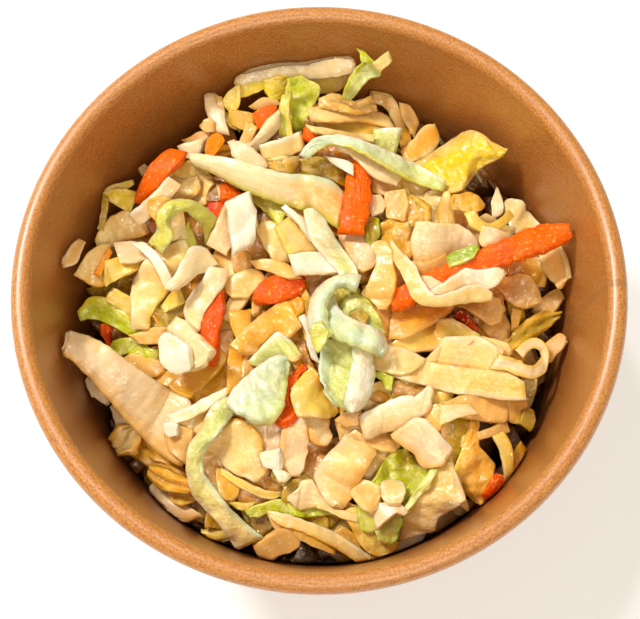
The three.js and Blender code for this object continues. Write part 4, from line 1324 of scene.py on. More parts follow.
patch(RIB, [(497, 286), (502, 279), (512, 278), (518, 274), (528, 276), (533, 280), (541, 302),
    (527, 308), (515, 306),
            (505, 298)], 20, 2.0, TAN, edge=PEACH)
patch(LEAF, [(390, 382), (405, 380), (430, 384), (435, 392), (425, 400), (405, 400), (392, 396)], 10, 1.2,
    FAWN, edge=OLIVE)
patch(RIB, [(445, 405), (460, 397), (480, 396), (500, 398), (507, 404), (508, 415), (505, 422),
    (490, 421), (470, 418),
            (455, 416)], 10, 1.8, PEACH, edge=TAN)
patch(RIBBON, [(506, 400), (520, 400), (526, 402), (524, 414), (520, 424), (510, 422)], 90, 1.4, GOLD,
    edge=PEACH)
patch(RIBBON, [(524, 410), (532, 410), (534, 420), (530, 430), (520, 423)], 80, 1.4, OLIVE)
band(RIBBON, [(441, 406, 441, 424), (455, 406, 458, 417), (470, 405, 476, 413)], 1.4, PALE, edge=CREAM)
patch(RIBBON, [(428, 406), (436, 404), (441, 412), (442, 425), (439, 430), (424, 420)], 70, 1.6, PEACH,
    end=HONEY)
patch(
    RIB, [(416, 226), (420, 222), (440, 224), (458, 225), (470, 232), (477, 240), (480, 246), (470, 249),
    (458, 254),
          (445, 260), (425, 264), (413, 262), (414, 240)],
    10, 2.6, PALE, left=PALE, right=GOLD, end=PINKISH,
)
band(RIBBON, [(413, 262, 421, 275), (430, 262, 435, 270), (445, 255, 448, 264)], 1.4, PEACH)
patch(
    LEAF,
    [(505, 202), (510, 199), (520, 201), (525, 206), (524, 211), (532, 217), (541, 227), (530, 231),
    (515, 233),
     (510, 225), (506, 215)],
    50, 1.0, CREAM, edge=PALE, crumple=0.3, lift=1.0,
)
band(RIBBON, [(466, 214, 474, 212), (472, 226, 482, 222), (488, 232, 492, 224), (503, 226, 502, 218),
    (512, 216, 509, 212)],
     1.2, BUTTER, lift=0.5)
patch(RIB, [(482, 228), (490, 227), (503, 233), (512, 236), (500, 243), (490, 246), (483, 247),
    (480, 240)], 10, 1.8, PALE)
patch(
    RIB,
    [(396, 341), (415, 332), (435, 325), (440, 319), (455, 320), (466, 328), (480, 338), (470, 345),
    (450, 348),
     (426, 350), (412, 352), (390, 346)],
    -15, 2.0, BUTTER, left=CREAM, right=PEACH,
)
band(
    RIB, [(392, 315, 390, 338), (405, 307, 404, 338), (420, 304, 420, 330), (440, 305, 440, 318),
    (458, 303, 450, 310)],
    1.8, HONEY, left=PEACH, right=PEACH, arch=0.5,
)
patch(
    RIB,
    [(443, 338), (455, 337), (476, 336), (485, 340), (504, 352), (498, 360), (487, 371), (465, 369),
    (450, 368),
     (425, 361), (430, 355), (438, 347)],
    15, 2.0, CREAM, left=PALE, right=PEACH,
)
band(
    CARROT,
    [(391, 303, 393, 312), (394, 290, 400, 310), (408, 284, 412, 305), (430, 271, 435, 290),
    (455, 262, 460, 279),
     (480, 250, 486, 271), (500, 241, 505, 265), (520, 234, 524, 259), (540, 228, 545, 252),
     (556, 225, 560, 245),
     (568, 225, 567, 236)],
    3.4, ORANGE, arch=0.3, bend=80, lift=[1.0, 1.5, 1.5, 1.0], ragged=0.35, relief=0.12, square=6,
)
patch(LEAF, [(447, 258), (455, 253), (465, 249), (475, 246), (478, 248), (474, 256), (465, 261),
    (450, 266)], -20, 1.0,
      GREEN, right=LIME, lift=0.5)
patch(RIB, [(422, 277), (430, 277), (445, 286), (437, 291), (430, 291), (426, 285)], 30, 1.6, PINKISH)
patch(
    RIB,
    [(446, 282), (465, 269), (480, 271), (500, 268), (504, 273), (500, 281), (493, 287), (465, 288),
    (437, 294),
     (430, 292)],
    -12, 1.6, PINKISH, left=SNOW, end=SNOW, lift=0.5,
)
band(
    RIBBON,
    [(388, 250, 392, 243), (396, 262, 402, 255), (404, 276, 413, 265), (410, 290, 421, 280),
    (419, 302, 430, 293),
     (438, 305, 438, 297), (455, 303, 455, 292), (472, 301, 472, 286), (486, 300, 484, 288),
     (491, 299, 491, 294)],
    1.2, CREAM, right=SNOW, arch=0.3, lift=[1.0, 2.0, 1.5, 1.5, 1.0],
)
band(
    RIBBON,
    [(492, 368, 500, 356), (510, 371, 518, 361), (522, 376, 524, 365), (535, 377, 533, 367),
    (545, 370, 540, 361),
     (548, 357, 542, 354), (545, 345, 540, 350), (535, 339, 534, 347), (523, 344, 527, 350),
     (517, 350, 523, 356)],
    1.2, PALE, edge=BUTTER, lift=0.5,
)
band(
    RIB,
    [(390, 356, 390, 375), (424, 362, 415, 382), (445, 366, 445, 390), (465, 369, 460, 393),
    (485, 371, 480, 395),
     (505, 372, 505, 399), (523, 382, 525, 399)],
    1.5, CREAM, right=PALE, end=BUTTER, bend=30, lift=[0.5, 1.0, 0.5],
)
patch(RIB, [(371, 340), (390, 346), (400, 348), (412, 353), (425, 361), (420, 366), (412, 372),
    (400, 375), (371, 368)], 25,
      1.6, CREAM, left=PALE)

# ---- The middle: the low ones ----
patch(RIBBON, [(232, 252), (240, 250), (250, 254), (252, 266), (244, 275), (234, 270)], 45, 1.4, FAWN)
patch(RIBBON, [(336, 420), (345, 412), (362, 414), (360, 424), (346, 426)], 10, 1.3, TAN)
patch(RIB, [(347, 436), (355, 430), (365, 438), (392, 432), (400, 445), (395, 452), (372, 448),
    (360, 444)], 10, 1.6, TAN,
      edge=CREAM)
band(RIBBON, [(228, 393, 240, 390), (228, 368, 242, 368), (230, 348, 248, 352)], 1.4, HONEY)
band(RIBBON, [(242, 378, 250, 380), (244, 362, 254, 364), (252, 344, 262, 346)], 1.4, PEACH)
patch(
    RIB,
    [(228, 280), (240, 273), (250, 270), (262, 274), (265, 282), (255, 290), (248, 297), (232, 297),
    (225, 290)],
    -20, 1.8, PEACH, edge=CREAM,
)
patch(RIB, [(300, 316), (315, 312), (320, 330), (318, 345), (306, 340)], 70, 1.4, GOLD)
patch(CARROT, [(288, 300), (296, 296), (305, 300), (305, 312), (298, 320), (290, 314)], 60, 1.8, AMBER)
band(RIBBON, [(300, 289, 304, 288), (304, 302, 310, 300), (308, 318, 312, 316)], 1.4, GOLD)
band(RIB, [(231, 312, 247, 312), (234, 325, 249, 328), (240, 342, 252, 336)], 2.6, HONEY, arch=0.6)
band(
    RIB, [(232, 345, 240, 352), (248, 328, 262, 350), (268, 312, 284, 340), (286, 299, 300, 326)],
    2.0, HONEY, edge=PEACH, crumple=0.5, arch=0.5,
)
band(
    CARROT,
    [(212, 300, 223, 290), (204, 316, 224, 312), (201, 332, 220, 330), (203, 350, 217, 350),
    (210, 366, 214, 366)],
    2.8, RUST, end=ORANGE, bend=40, lift=0.5,
)
band(
    CARROT, [(252, 300, 258, 304), (258, 286, 270, 304), (272, 277, 284, 300), (290, 280, 298, 295),
    (305, 275, 306, 288)],
    2.4, ORANGE, end=BRICK, edge=RUST,
)
patch(RIB, [(338, 234), (352, 234), (366, 236), (376, 252), (376, 266), (364, 273), (354, 268),
    (348, 256)], 40, 2.6, PINKISH,
      right=PEACH)
patch(LEAF, [(366, 222), (372, 217), (378, 219), (379, 236), (372, 246), (367, 240)], 90, 1.2, OLIVE,
    edge=GREEN)
patch(RIB, [(370, 196), (380, 196), (386, 204), (384, 212), (372, 216)], 20, 1.8, PINKISH)
patch(RIB, [(385, 192), (405, 190), (408, 205), (404, 220), (388, 218)], 60, 1.6, TAN, edge=PEACH)
patch(
    RIB,
    [(370, 246), (385, 241), (392, 250), (393, 265), (396, 280), (393, 295), (388, 308), (380, 309),
    (370, 298),
     (362, 294), (370, 282), (378, 265), (378, 255)],
    90, 2.0, PEACH, left=HONEY, right=CREAM,
)
patch(
    RIB,
    [(306, 417), (318, 418), (328, 420), (326, 428), (332, 438), (329, 443), (322, 445), (315, 444),
    (309, 432)],
    45, 2.2, PALE, edge=PEACH,
)
patch(
    RIB,
    [(283, 425), (295, 417), (306, 417), (307, 440), (305, 460), (302, 472), (297, 476), (288, 472),
    (280, 465),
     (280, 450)],
    90, 2.4, PINKISH, right=TAN,
)
patch(RIB, [(261, 454), (275, 450), (281, 449), (281, 470), (265, 466)], 10, 2.0, SNOW)
patch(RIB, [(274, 470), (285, 472), (290, 476), (285, 481), (279, 481)], 20, 1.8, SNOW, edge=PALE)
patch(
    RIB,
    [(346, 436), (365, 446), (376, 451), (366, 470), (352, 487), (350, 499), (340, 508), (325, 497),
    (317, 483),
     (315, 475), (320, 465), (337, 447)],
    115, 2.6, CREAM, left=PEACH, right=PINKISH, arch=0.6,
)
patch(LEAF, [(372, 373), (380, 372), (393, 378), (391, 390), (387, 389), (383, 380)], 40, 1.0, LIME)
patch(
    CARROT,
    [(303, 364), (307, 370), (300, 378), (290, 392), (290, 400), (297, 417), (290, 423), (280, 427),
    (276, 423),
     (284, 408), (283, 395), (287, 380), (295, 372)],
    100, 2.2, RUST, edge=ORANGE,
)
patch(
    RIB,
    [(290, 392), (297, 382), (303, 375), (312, 367), (320, 378), (325, 395), (338, 410), (335, 415),
    (325, 417),
     (305, 416), (298, 417), (294, 405)],
    40, 1.8, BUTTER, left=HONEY, right=CREAM, crumple=0.3,
)
band(
    RIB,
    [(360, 417, 365, 438), (390, 402, 385, 430), (405, 397, 400, 428), (415, 398, 415, 423),
    (428, 388, 425, 412),
     (432, 396, 430, 402)],
    2.4, PALE, left=SNOW, right=PINKISH, arch=0.7, bend=30,
)
band(
    RIB, [(410, 422, 393, 434), (420, 419, 400, 442), (430, 425, 415, 452), (440, 436, 424, 465),
    (447, 446, 436, 466),
          (450, 453, 445, 461)],
    2.6, PINKISH, left=SNOW, right=PEACH, arch=0.7, bend=30, lift=0.5,
)

# ---- The middle: the ones on top ----
band(LEAF, [(240, 187, 246, 195), (258, 192, 266, 212), (275, 200, 280, 224), (290, 206, 284, 216)], 1.0,
    LEEK, left=LIME)
band(
    RIB,
    [(190, 156, 193, 162), (210, 157, 215, 172), (232, 160, 240, 186), (256, 167, 262, 196),
    (285, 175, 290, 205),
     (312, 177, 312, 212), (332, 183, 330, 222), (344, 195, 338, 228)],
    1.8, PALE, left=MINT, right=LEEK, end=PEACH, arch=0.8, bend=30, lift=[0.5, 1.5, 1.0, 0.5],
)
band(RIB, [(210, 268, 226, 270), (202, 282, 224, 284), (194, 294, 212, 300), (187, 308, 203, 314),
    (190, 328, 198, 330)],
     2.0, PALE, left=SNOW, right=PINKISH, arch=0.5)
band(RIBBON, [(256, 228, 262, 222), (262, 240, 275, 224), (270, 254, 284, 240), (278, 265, 288, 262)],
    2.0, CREAM)
band(RIBBON, [(276, 228, 288, 219), (284, 244, 303, 234), (290, 256, 320, 252)], 2.0, CREAM, edge=BUTTER)
band(RIB, [(208, 244, 226, 254), (216, 226, 232, 240), (225, 205, 230, 212)], 2.2, PINKISH, edge=PALE)
band(RIB, [(227, 203, 249, 193), (229, 218, 254, 210), (231, 234, 256, 224), (234, 254, 250, 245)], 3.0,
    SNOW, lift=0.8,
     bend=60)
band(RIB, [(252, 262, 256, 267), (268, 260, 272, 272), (282, 264, 284, 277), (296, 272, 300, 278)], 1.6,
    PEACH)
band(
    RIB, [(290, 256, 296, 275), (305, 253, 308, 274), (325, 254, 328, 274), (338, 258, 346, 272)],
    2.4, SNOW, right=PINKISH, bend=60,
)
band(RIBBON, [(283, 208, 286, 206), (296, 220, 300, 218), (311, 240, 314, 238)], 1.2, SNOW, lift=1.0)
patch(RIB, [(168, 328), (175, 319), (188, 323), (200, 338), (190, 346), (170, 336)], 40, 3.0, PALE,
    bend=60)
patch(RIB, [(187, 343), (199, 337), (213, 351), (206, 362), (191, 370)], 60, 3.0, PALE, right=CREAM,
    tilt=-0.5, bend=60)
patch(
    RIB, [(161, 340), (169, 333), (189, 345), (192, 368), (186, 372), (172, 371), (163, 363)],
    80, 3.4, SNOW, lift=0.6, bend=60, relief=0.03,
)
band(
    CARROT,
    [(357, 158, 362, 158), (350, 169, 366, 168), (346, 182, 369, 180), (343, 205, 369, 205),
    (341, 220, 367, 221),
     (339, 233, 363, 235)],
    3.0, ORANGE, arch=0.3, bend=80, lift=1.0, square=6, ragged=0.3, relief=0.12,
)
band(LEAF, [(375, 131, 372, 142), (388, 129, 384, 150), (401, 129, 394, 155)], 1.2, CELERY, left=SNOW,
    lift=1.0)
band(RIBBON, [(307, 126, 312, 131), (325, 129, 330, 136), (350, 134, 356, 139), (374, 136, 372, 141)],
    1.2, CREAM, lift=1.0)
band(
    RIBBON, [(336, 142, 336, 148), (350, 147, 350, 154), (366, 156, 362, 164), (378, 165, 372, 174),
    (390, 165, 382, 180),
             (400, 178, 396, 184)],
    1.2, PALE, left=SNOW, lift=1.2,
)
band(
    LEAF,
    [(301, 155, 308, 158), (308, 145, 316, 151), (318, 138, 326, 145), (334, 136, 336, 144),
    (352, 139, 352, 148),
     (375, 147, 372, 158), (400, 158, 396, 172), (425, 170, 420, 184), (445, 182, 442, 190)],
    1.2, MINT, left=SNOW, right=LEEK, end=CELERY, bend=30, lift=[0.5, 1.5, 2.0, 1.5, 1.0],
)
band(RIBBON, [(326, 157, 330, 161), (340, 160, 342, 168), (352, 165, 352, 174)], 1.2, SNOW, lift=0.6)
band(RIBBON, [(300, 318, 304, 316), (306, 330, 310, 330), (308, 345, 314, 348), (312, 358, 318, 362)],
    1.2, SNOW)
patch(
    RIB,
    [(249, 362), (260, 350), (275, 334), (280, 332), (295, 346), (300, 352), (300, 358), (292, 362),
    (285, 355),
     (265, 360), (258, 367)],
    -35, 1.4, CELERY, left=SNOW, right=CREAM,
)

# ---- The curly leaf over the middle, and the leaf with a long tail below it ----
patch(
    LEAF,
    [(326, 290), (336, 283), (350, 283), (359, 290), (358, 300), (350, 310), (340, 316), (330, 308)],
    60, 1.0, LEEK, crumple=0.5,
)
patch(
    LEAF,
    [(338, 306), (354, 292), (367, 300), (378, 316), (385, 334), (374, 336), (356, 328), (342, 320)],
    50, 1.0, CELERY, left=LEEK, right=MINT, crumple=0.6,
)
patch(LEAF, [(350, 314), (360, 309), (368, 316), (366, 326), (356, 324)], 40, 1.0, OLIVE, crumple=0.3,
    lift=0.3)
sheet(
    LEAF,
    [
        [(319, 340, 1.6), (334, 338, 1.0), (350, 338, 1.8), (364, 338, 1.6)],
        [(320, 358, 2.2), (332, 358, 0.6), (348, 360, 2.2), (366, 356, 1.4)],
        [(321, 378, 2.0), (334, 376, 0.6), (348, 378, 2.0), (366, 374, 1.2)],
        [(325, 392, 1.8), (336, 392, 0.7), (348, 394, 1.8), (364, 392, 1.0)],
        [(332, 406, 1.2), (342, 408, 0.8), (352, 412, 1.4), (362, 405, 0.8)],
    ],
    1.0, CELERY, left=MINT, right=PALE, crumple=0.45, bend=10,
)
patch(
    LEAF,
    [(353, 340), (360, 335), (367, 337), (370, 352), (374, 375), (371, 392), (362, 407), (352, 412),
    (345, 405),
     (349, 384), (354, 362)],
    95, 1.2, SNOW, left=MINT, right=MINT, arch=1.2, crumple=0.25, lift=1.0,
)
band(
    LEAF,
    [(333, 296, 320, 306), (340, 312, 322, 322), (352, 320, 332, 336), (366, 326, 350, 344),
    (382, 336, 372, 352),
     (387, 348, 380, 357)],
    1.2, MINT, left=SNOW, right=CELERY, arch=1.6, lift=[1.0, 2.0, 2.0, 1.2], crumple=0.3,
)
sheet(
    LEAF,
    [
        [(304, 210, 1.0), (309, 208, 2.0), (314, 208, 2.5)],
        [(306, 224, 1.0), (316, 221, 2.0), (326, 221, 2.2)],
        [(311, 240, 0.8), (323, 238, 1.6), (337, 239, 2.2)],
        [(321, 254, 0.6), (334, 252, 1.4), (348, 255, 2.2)],
        [(334, 268, 0.5), (346, 266, 1.4), (357, 268, 2.2)],
        [(342, 281, 0.5), (352, 280, 1.4), (360, 284, 2.5)],
    ],
    1.0, PALE, left=SNOW, right=MINT, end=CELERY, crumple=0.3,
)
band(
    LEAF,
    [(360, 276, 355, 291), (348, 276, 344, 286), (334, 279, 337, 287), (321, 287, 331, 294),
    (313, 298, 327, 302),
     (310, 314, 326, 313), (311, 329, 327, 324), (317, 343, 332, 334)],
    1.2, MINT, left=SNOW, right=CELERY, arch=1.8, lift=[1.0, 2.0, 2.2, 2.0, 1.2], frill=0.3, bend=10,
)
patch(LEAF, [(312, 326), (320, 322), (328, 332), (324, 344), (318, 352), (313, 340)], 80, 1.0, LEEK,
    crumple=0.4, lift=0.6)
band(
    LEAF,
    [(240, 398, 226, 398), (230, 416, 212, 408), (218, 432, 201, 432), (207, 447, 191, 445),
    (201, 460, 188, 460),
     (203, 474, 189, 478), (212, 487, 194, 494), (222, 500, 204, 506), (234, 514, 215, 518),
     (247, 526, 228, 534),
     (262, 537, 237, 549)],
    1.2, CELERY, left=MINT, right=PALE, end=CREAM, arch=0.8, bend=20, lift=[1.0, 1.5, 1.0, 0.5],
)
sheet(
    LEAF,
    [
        [(283, 355, 1.5), (287, 358, 1.8), (290, 363, 1.2)],
        [(264, 362, 1.8), (276, 368, 2.8), (288, 380, 1.4)],
        [(250, 372, 1.8), (264, 384, 2.2), (286, 396, 1.4)],
        [(238, 384, 1.6), (253, 398, 2.2), (284, 409, 1.2)],
        [(228, 395, 1.2), (245, 410, 2.2), (270, 425, 1.0)],
        [(226, 405, 0.8), (236, 413, 1.4), (250, 421, 0.8)],
    ],
    1.2, MINT, left=SNOW, right=CELERY, crumple=0.35, bend=14, relief=0.12,
)

make_room()
core_bed = pile.heights.copy()
fill_heap()
for lay, kind, rows, thick, look in LISTED:
    lay(kind, rows, thick, look)


# ---- The core under the shreds ----
CORE_TURNS = 96
CORE_RINGS = 40


def heap_core():
    floor = BASE_HEIGHT + FOOD_CLEARANCE
    angles = np.arange(CORE_TURNS) * 2 * np.pi / CORE_TURNS
    rings = []
    edge = wall_inside(CORE_SIDE_HEIGHT) - CORE_CLEARANCE
    for height in (floor, CORE_SIDE_HEIGHT):
        radius = wall_inside(height) - CORE_CLEARANCE
        rings.append(np.column_stack([radius * np.cos(angles), radius * np.sin(angles),
            np.full(CORE_TURNS, height)]))
    for share in np.linspace(0.99, 0.01, CORE_RINGS):
        x, y = edge * share * np.cos(angles), edge * share * np.sin(angles)
        rings.append(np.column_stack([x, y, core_bed[pile.cells(x, y)]]))
    places = np.concatenate(rings)
    faces = []
    for k in range(len(rings) - 1):
        for i in range(CORE_TURNS):
            j = (i + 1) % CORE_TURNS
            low, high = k * CORE_TURNS, (k + 1) * CORE_TURNS
            faces += [[low + i, low + j, high + j], [low + i, high + j, high + i]]
    top = (len(rings) - 1) * CORE_TURNS
    for start, flip in ((0, True), (top, False)):
        for i in range(1, CORE_TURNS - 1):
            corners = [start, start + i, start + i + 1]
            faces.append(corners[::-1] if flip else corners)
    rough = places + 0.35 * lumps(places, 3.0, 5)[:, None] * np.array([0, 0, 1])
    return new_mesh("heap_core", rough * MM, np.array(faces))


# ---- The cup ----
def turned(name, outline, material):
    """Turns a closed outline of (radius, height) points round the Z axis."""
    outline = np.array(outline, float)
    angles = np.arange(ROUND_STEPS) * 2 * np.pi / ROUND_STEPS
    x = outline[None, :, 0] * np.cos(angles)[:, None]
    y = outline[None, :, 0] * np.sin(angles)[:, None]
    z = np.broadcast_to(outline[None, :, 1], x.shape)
    places = np.stack([x, y, z], axis=-1)
    count = len(outline)
    turn = np.arange(ROUND_STEPS)[:, None] * count
    following = ((np.arange(ROUND_STEPS) + 1) % ROUND_STEPS)[:, None] * count
    cell = np.arange(count)[None, :]
    after = (cell + 1) % count
    quads = np.stack([turn + cell, following + cell, following + after, turn + after],
        axis=-1).reshape(-1, 4)
    obj = new_mesh(name, places.reshape(-1, 3) * MM, quads)
    run = np.concatenate([[0], np.cumsum(np.linalg.norm(np.diff(outline, axis=0), axis=1))])
    around = angles[:, None] * RIM_RADIUS
    grain = np.stack(np.broadcast_arrays(around, run[None, :], 0.0), axis=-1)
    attribute = obj.data.attributes.new("grain", "FLOAT_VECTOR", "POINT")
    attribute.data.foreach_set("vector", grain.reshape(-1))
    obj.data.materials.append(material)
    obj.data.set_sharp_from_angle(angle=math.radians(50))
    return obj


def curl_arc(radius, from_deg, to_deg):
    angles = np.radians(np.linspace(from_deg, to_deg, CURL_STEPS + 1))
    centre = np.array([RIM_RADIUS - CURL_RADIUS, CUP_HEIGHT - CURL_RADIUS])
    return [tuple(centre + radius * np.array([math.cos(a), math.sin(a)])) for a in angles]


def wall_face(offset, from_height, to_height):
    """Points up or down one face of the wall, offset from its inner face."""
    return [(wall_inside(z) + offset, z) for z in np.linspace(from_height, to_height, WALL_STEPS + 1)]


def cup_wall(material):
    curl_end = CURL_OPENING_DEG - 180
    groove = PAPER + 2 * GAP
    top = CUP_HEIGHT - CURL_RADIUS
    return turned(
        "cup_wall_kraft",
        [
            *wall_face(PAPER, 0, top)[:-1],
            *curl_arc(CURL_RADIUS - PAPER, 180, curl_end),
            *curl_arc(CURL_RADIUS, curl_end, 180),
            *wall_face(0, top, PAPER)[1:],
            (wall_inside(PAPER) - groove, PAPER),
            (wall_inside(HEM_HEIGHT) - groove, HEM_HEIGHT),
            (wall_inside(HEM_HEIGHT) - groove - PAPER, HEM_HEIGHT),
            (wall_inside(0) - groove - PAPER, 0),
        ],
        material,
    )


def cup_base(material):
    underside = BASE_HEIGHT - PAPER
    skirt_foot = PAPER + GAP
    return turned(
        "cup_base_kraft",
        [
            (0.01, underside),
            (wall_inside(underside) - GAP - PAPER, underside),
            (wall_inside(skirt_foot) - GAP - PAPER, skirt_foot),
            (wall_inside(skirt_foot) - GAP, skirt_foot),
            (wall_inside(BASE_HEIGHT) - GAP, BASE_HEIGHT),
            (0.01, BASE_HEIGHT),
        ],
        material,
    )


# ---- Materials ----
# painted shade: the board darkens from the rim down to the level of the food, and stays dark below it
DAMP_LOW = 30.0
DAMP_HIGH = 60.0
DAMP_TINT = (0.62, 0.5, 0.36)
SPARKLE = (1.0, 0.94, 0.74)


class Surface:
    """A node-based material round one Principled shader."""

    def __init__(self, name):
        self.material = bpy.data.materials.new(name)
        self.material.use_nodes = True
        self.tree = self.material.node_tree
        self.tree.nodes.clear()
        self.output = self.node("ShaderNodeOutputMaterial")
        self.shader = self.node("ShaderNodeBsdfPrincipled")
        self.link(self.shader.outputs[0], self.output.inputs["Surface"])

    def node(self, kind, **settings):
        made = self.tree.nodes.new(kind)
        for key, value in settings.items():
            setattr(made, key, value)
        return made

    def link(self, source, target):
        self.tree.links.new(source, target)

    def put(self, target, value):
        """Sets a socket to a number, a colour or another node's output."""
        if isinstance(value, bpy.types.NodeSocket):
            self.link(value, target)
        else:
            target.default_value = value

    def own(self, name, output="Vector"):
        return self.node("ShaderNodeAttribute", attribute_name=name).outputs[output]

    def place(self):
        return self.node("ShaderNodeTexCoord").outputs["Object"]

    def stretched(self, source, scale):
        mapping = self.node("ShaderNodeMapping")
        self.link(source, mapping.inputs["Vector"])
        mapping.inputs["Scale"].default_value = scale
        return mapping.outputs[0]

    def noise(self, source, scale, detail=3.0, roughness=0.55, distortion=0.0):
        noise = self.node("ShaderNodeTexNoise")
        self.link(source, noise.inputs["Vector"])
        noise.inputs["Scale"].default_value = scale
        noise.inputs["Detail"].default_value = detail
        noise.inputs["Roughness"].default_value = roughness
        noise.inputs["Distortion"].default_value = distortion
        return noise.outputs["Fac"]

    def crease(self, source, scale):
        """Distance from the cell borders of a Voronoi pattern."""
        cells = self.node("ShaderNodeTexVoronoi", feature="DISTANCE_TO_EDGE")
        self.link(source, cells.inputs["Vector"])
        cells.inputs["Scale"].default_value = scale
        return cells.outputs["Distance"]

    def between(self, source, low, high, to_low=0.0, to_high=1.0):
        ranged = self.node("ShaderNodeMapRange", interpolation_type="SMOOTHSTEP")
        self.link(source, ranged.inputs["Value"])
        for name, value in (("From Min", low), ("From Max", high), ("To Min", to_low), ("To Max",
            to_high)):
            ranged.inputs[name].default_value = value
        return ranged.outputs["Result"]

    def mixed(self, share, first, second, blend="MIX"):
        mix = self.node("ShaderNodeMix", data_type="RGBA", blend_type=blend)
        self.put(mix.inputs["Factor"], share)
        self.put(mix.inputs[6], first)
        self.put(mix.inputs[7], second)
        return mix.outputs[2]

    def sum(self, first, second, weight=1.0):
        add = self.node("ShaderNodeMath", operation="MULTIPLY_ADD")
        self.put(add.inputs[0], second)
        add.inputs[1].default_value = weight
        self.put(add.inputs[2], first)
        return add.outputs[0]

    def droplets(self, scale):
        """Sparse small beads of dressing, as heights from 0 to 1."""
        return self.between(self.noise(self.place(), scale, 1.0, 0.4), 0.5, 0.72)

    def flecks(self, scale, share):
        """Painted glints: fine specks where the film catches the light, as shares of a paler tint."""
        return self.between(self.noise(self.place(), scale, 2.0, 0.5), 0.58, 0.74, 0.0, share)

    def bump(self, height, distance, target="Normal"):
        bump = self.node("ShaderNodeBump")
        self.link(height, bump.inputs["Height"])
        bump.inputs["Distance"].default_value = distance
        self.link(bump.outputs[0], self.shader.inputs[target])

    def set(self, **values):
        for name, value in values.items():
            self.put(self.shader.inputs[name.replace("_", " ")], value)


def colour(rgb):
    return (*[float(v) for v in rgb], 1.0)


def wet_film(surface, weight, roughness, specular):
    """A film of dressing over a piece: sharp glints with little haze."""
    surface.shader.inputs["Specular IOR Level"].default_value = specular
    surface.shader.inputs["Coat Weight"].default_value = weight
    surface.shader.inputs["Coat Roughness"].default_value = roughness
    surface.shader.inputs["Coat IOR"].default_value = 1.5


def flesh(surface, weight, radius, scale):
    """Light that spreads inside a piece."""
    surface.shader.inputs["Subsurface Weight"].default_value = weight
    surface.shader.inputs["Subsurface Radius"].default_value = radius
    surface.shader.inputs["Subsurface Scale"].default_value = scale * MM


def cabbage(name, fibre, wrinkle, subsurface):
    """Wet, translucent cabbage: fibres along each piece, golden blotches, a film of dressing, and painted
    glints in its colour.
    """
    surface = Surface(name)
    grain = surface.own("grain")
    tint = surface.own("tint", "Color")
    fibres = surface.noise(surface.stretched(grain, (0.12, 1.7, 1.0)), 1.0, 4.0, 0.6)
    blotches = surface.noise(surface.place(), 240.0, 3.0, 0.5)
    beads = surface.droplets(900.0)
    streaked = surface.mixed(surface.between(fibres, 0.58, 0.3, 0.0, 0.32), tint,
        colour((0.95, 0.82, 0.5)), "MULTIPLY")
    soaked = surface.mixed(
        surface.between(blotches, 0.48, 0.68, 0.0, 0.5), streaked, colour((0.97, 0.82, 0.44)), "MULTIPLY"
    )
    height = surface.sum(fibres, blotches, wrinkle)
    surface.bump(height, fibre * MM)
    wet = surface.mixed(surface.flecks(1500.0, 0.3), soaked, colour(SPARKLE))
    rippled = surface.sum(height, surface.noise(surface.place(), 420.0, 2.0, 0.5), 3.0)
    surface.bump(surface.sum(rippled, beads, 1.2), 1.5 * fibre * MM, "Coat Normal")
    surface.set(Base_Color=wet, Roughness=surface.between(blotches, 0.3, 0.7, 0.3, 0.5))
    flesh(surface, subsurface, (1.0, 0.78, 0.32), 1.3)
    wet_film(surface, 1.0, 0.09, 0.3)
    return surface.material


def leaf(name):
    """Thin crinkled leaf: faint paler veins between small blisters, with a wet gloss and painted glints
    in its colour.
    """
    surface = Surface(name)
    grain = surface.own("grain")
    tint = surface.own("tint", "Color")
    wavy = surface.noise(grain, 0.35, 2.0, 0.5)
    bent = surface.mixed(0.35, grain, wavy, "ADD")
    veins = surface.crease(surface.stretched(bent, (0.3, 0.55, 1.0)), 0.5)
    blisters = surface.noise(surface.stretched(grain, (0.8, 1.0, 1.0)), 0.7, 3.0, 0.5)
    blotches = surface.noise(surface.place(), 240.0, 3.0, 0.5)
    beads = surface.droplets(1000.0)
    veined = surface.mixed(surface.between(veins, 0.1, 0.0, 0.0, 0.22), tint, colour(PALE))
    deeper = surface.mixed(
        surface.between(blotches, 0.45, 0.7, 0.0, 0.5), veined, colour((0.9, 0.84, 0.42)), "MULTIPLY"
    )
    wet = surface.mixed(surface.flecks(1300.0, 0.3), deeper, colour(SPARKLE))
    surface.bump(blisters, 0.5 * MM)
    surface.bump(surface.sum(blisters, beads, 0.5), 0.7 * MM, "Coat Normal")
    surface.set(Base_Color=wet, Roughness=surface.between(blotches, 0.3, 0.7, 0.26, 0.42))
    flesh(surface, 0.4, (1.0, 0.85, 0.3), 1.1)
    wet_film(surface, 1.0, 0.09, 0.35)
    return surface.material


def carrot():
    """Wet raw carrot: short pale specks and fine ridges along the cut, with painted glints in its colour.
    """
    surface = Surface("wet_carrot")
    grain = surface.own("grain")
    tint = surface.own("tint", "Color")
    ridges = surface.noise(surface.stretched(grain, (0.25, 2.6, 1.0)), 1.0, 3.0, 0.6)
    pits = surface.noise(surface.stretched(grain, (1.3, 2.2, 1.0)), 1.1, 2.0, 0.5)
    pale = surface.mixed(surface.between(pits, 0.6, 0.75, 0.0, 0.5), tint, colour(tone(255, 160, 24)))
    deep = surface.mixed(surface.between(ridges, 0.52, 0.3, 0.0, 0.6), pale, colour((0.86, 0.5, 0.3)),
        "MULTIPLY")
    wet = surface.mixed(surface.flecks(1500.0, 0.6), deep, colour((1.0, 0.56, 0.16)))
    beads = surface.droplets(800.0)
    surface.bump(surface.sum(ridges, pits, 0.6), 0.3 * MM)
    surface.bump(surface.sum(ridges, beads, 1.0), 0.4 * MM, "Coat Normal")
    surface.set(Base_Color=wet, Roughness=surface.between(ridges, 0.3, 0.7, 0.35, 0.5))
    flesh(surface, 0.25, (1.0, 0.35, 0.08), 1.0)
    wet_film(surface, 0.5, 0.08, 0.05)
    return surface.material


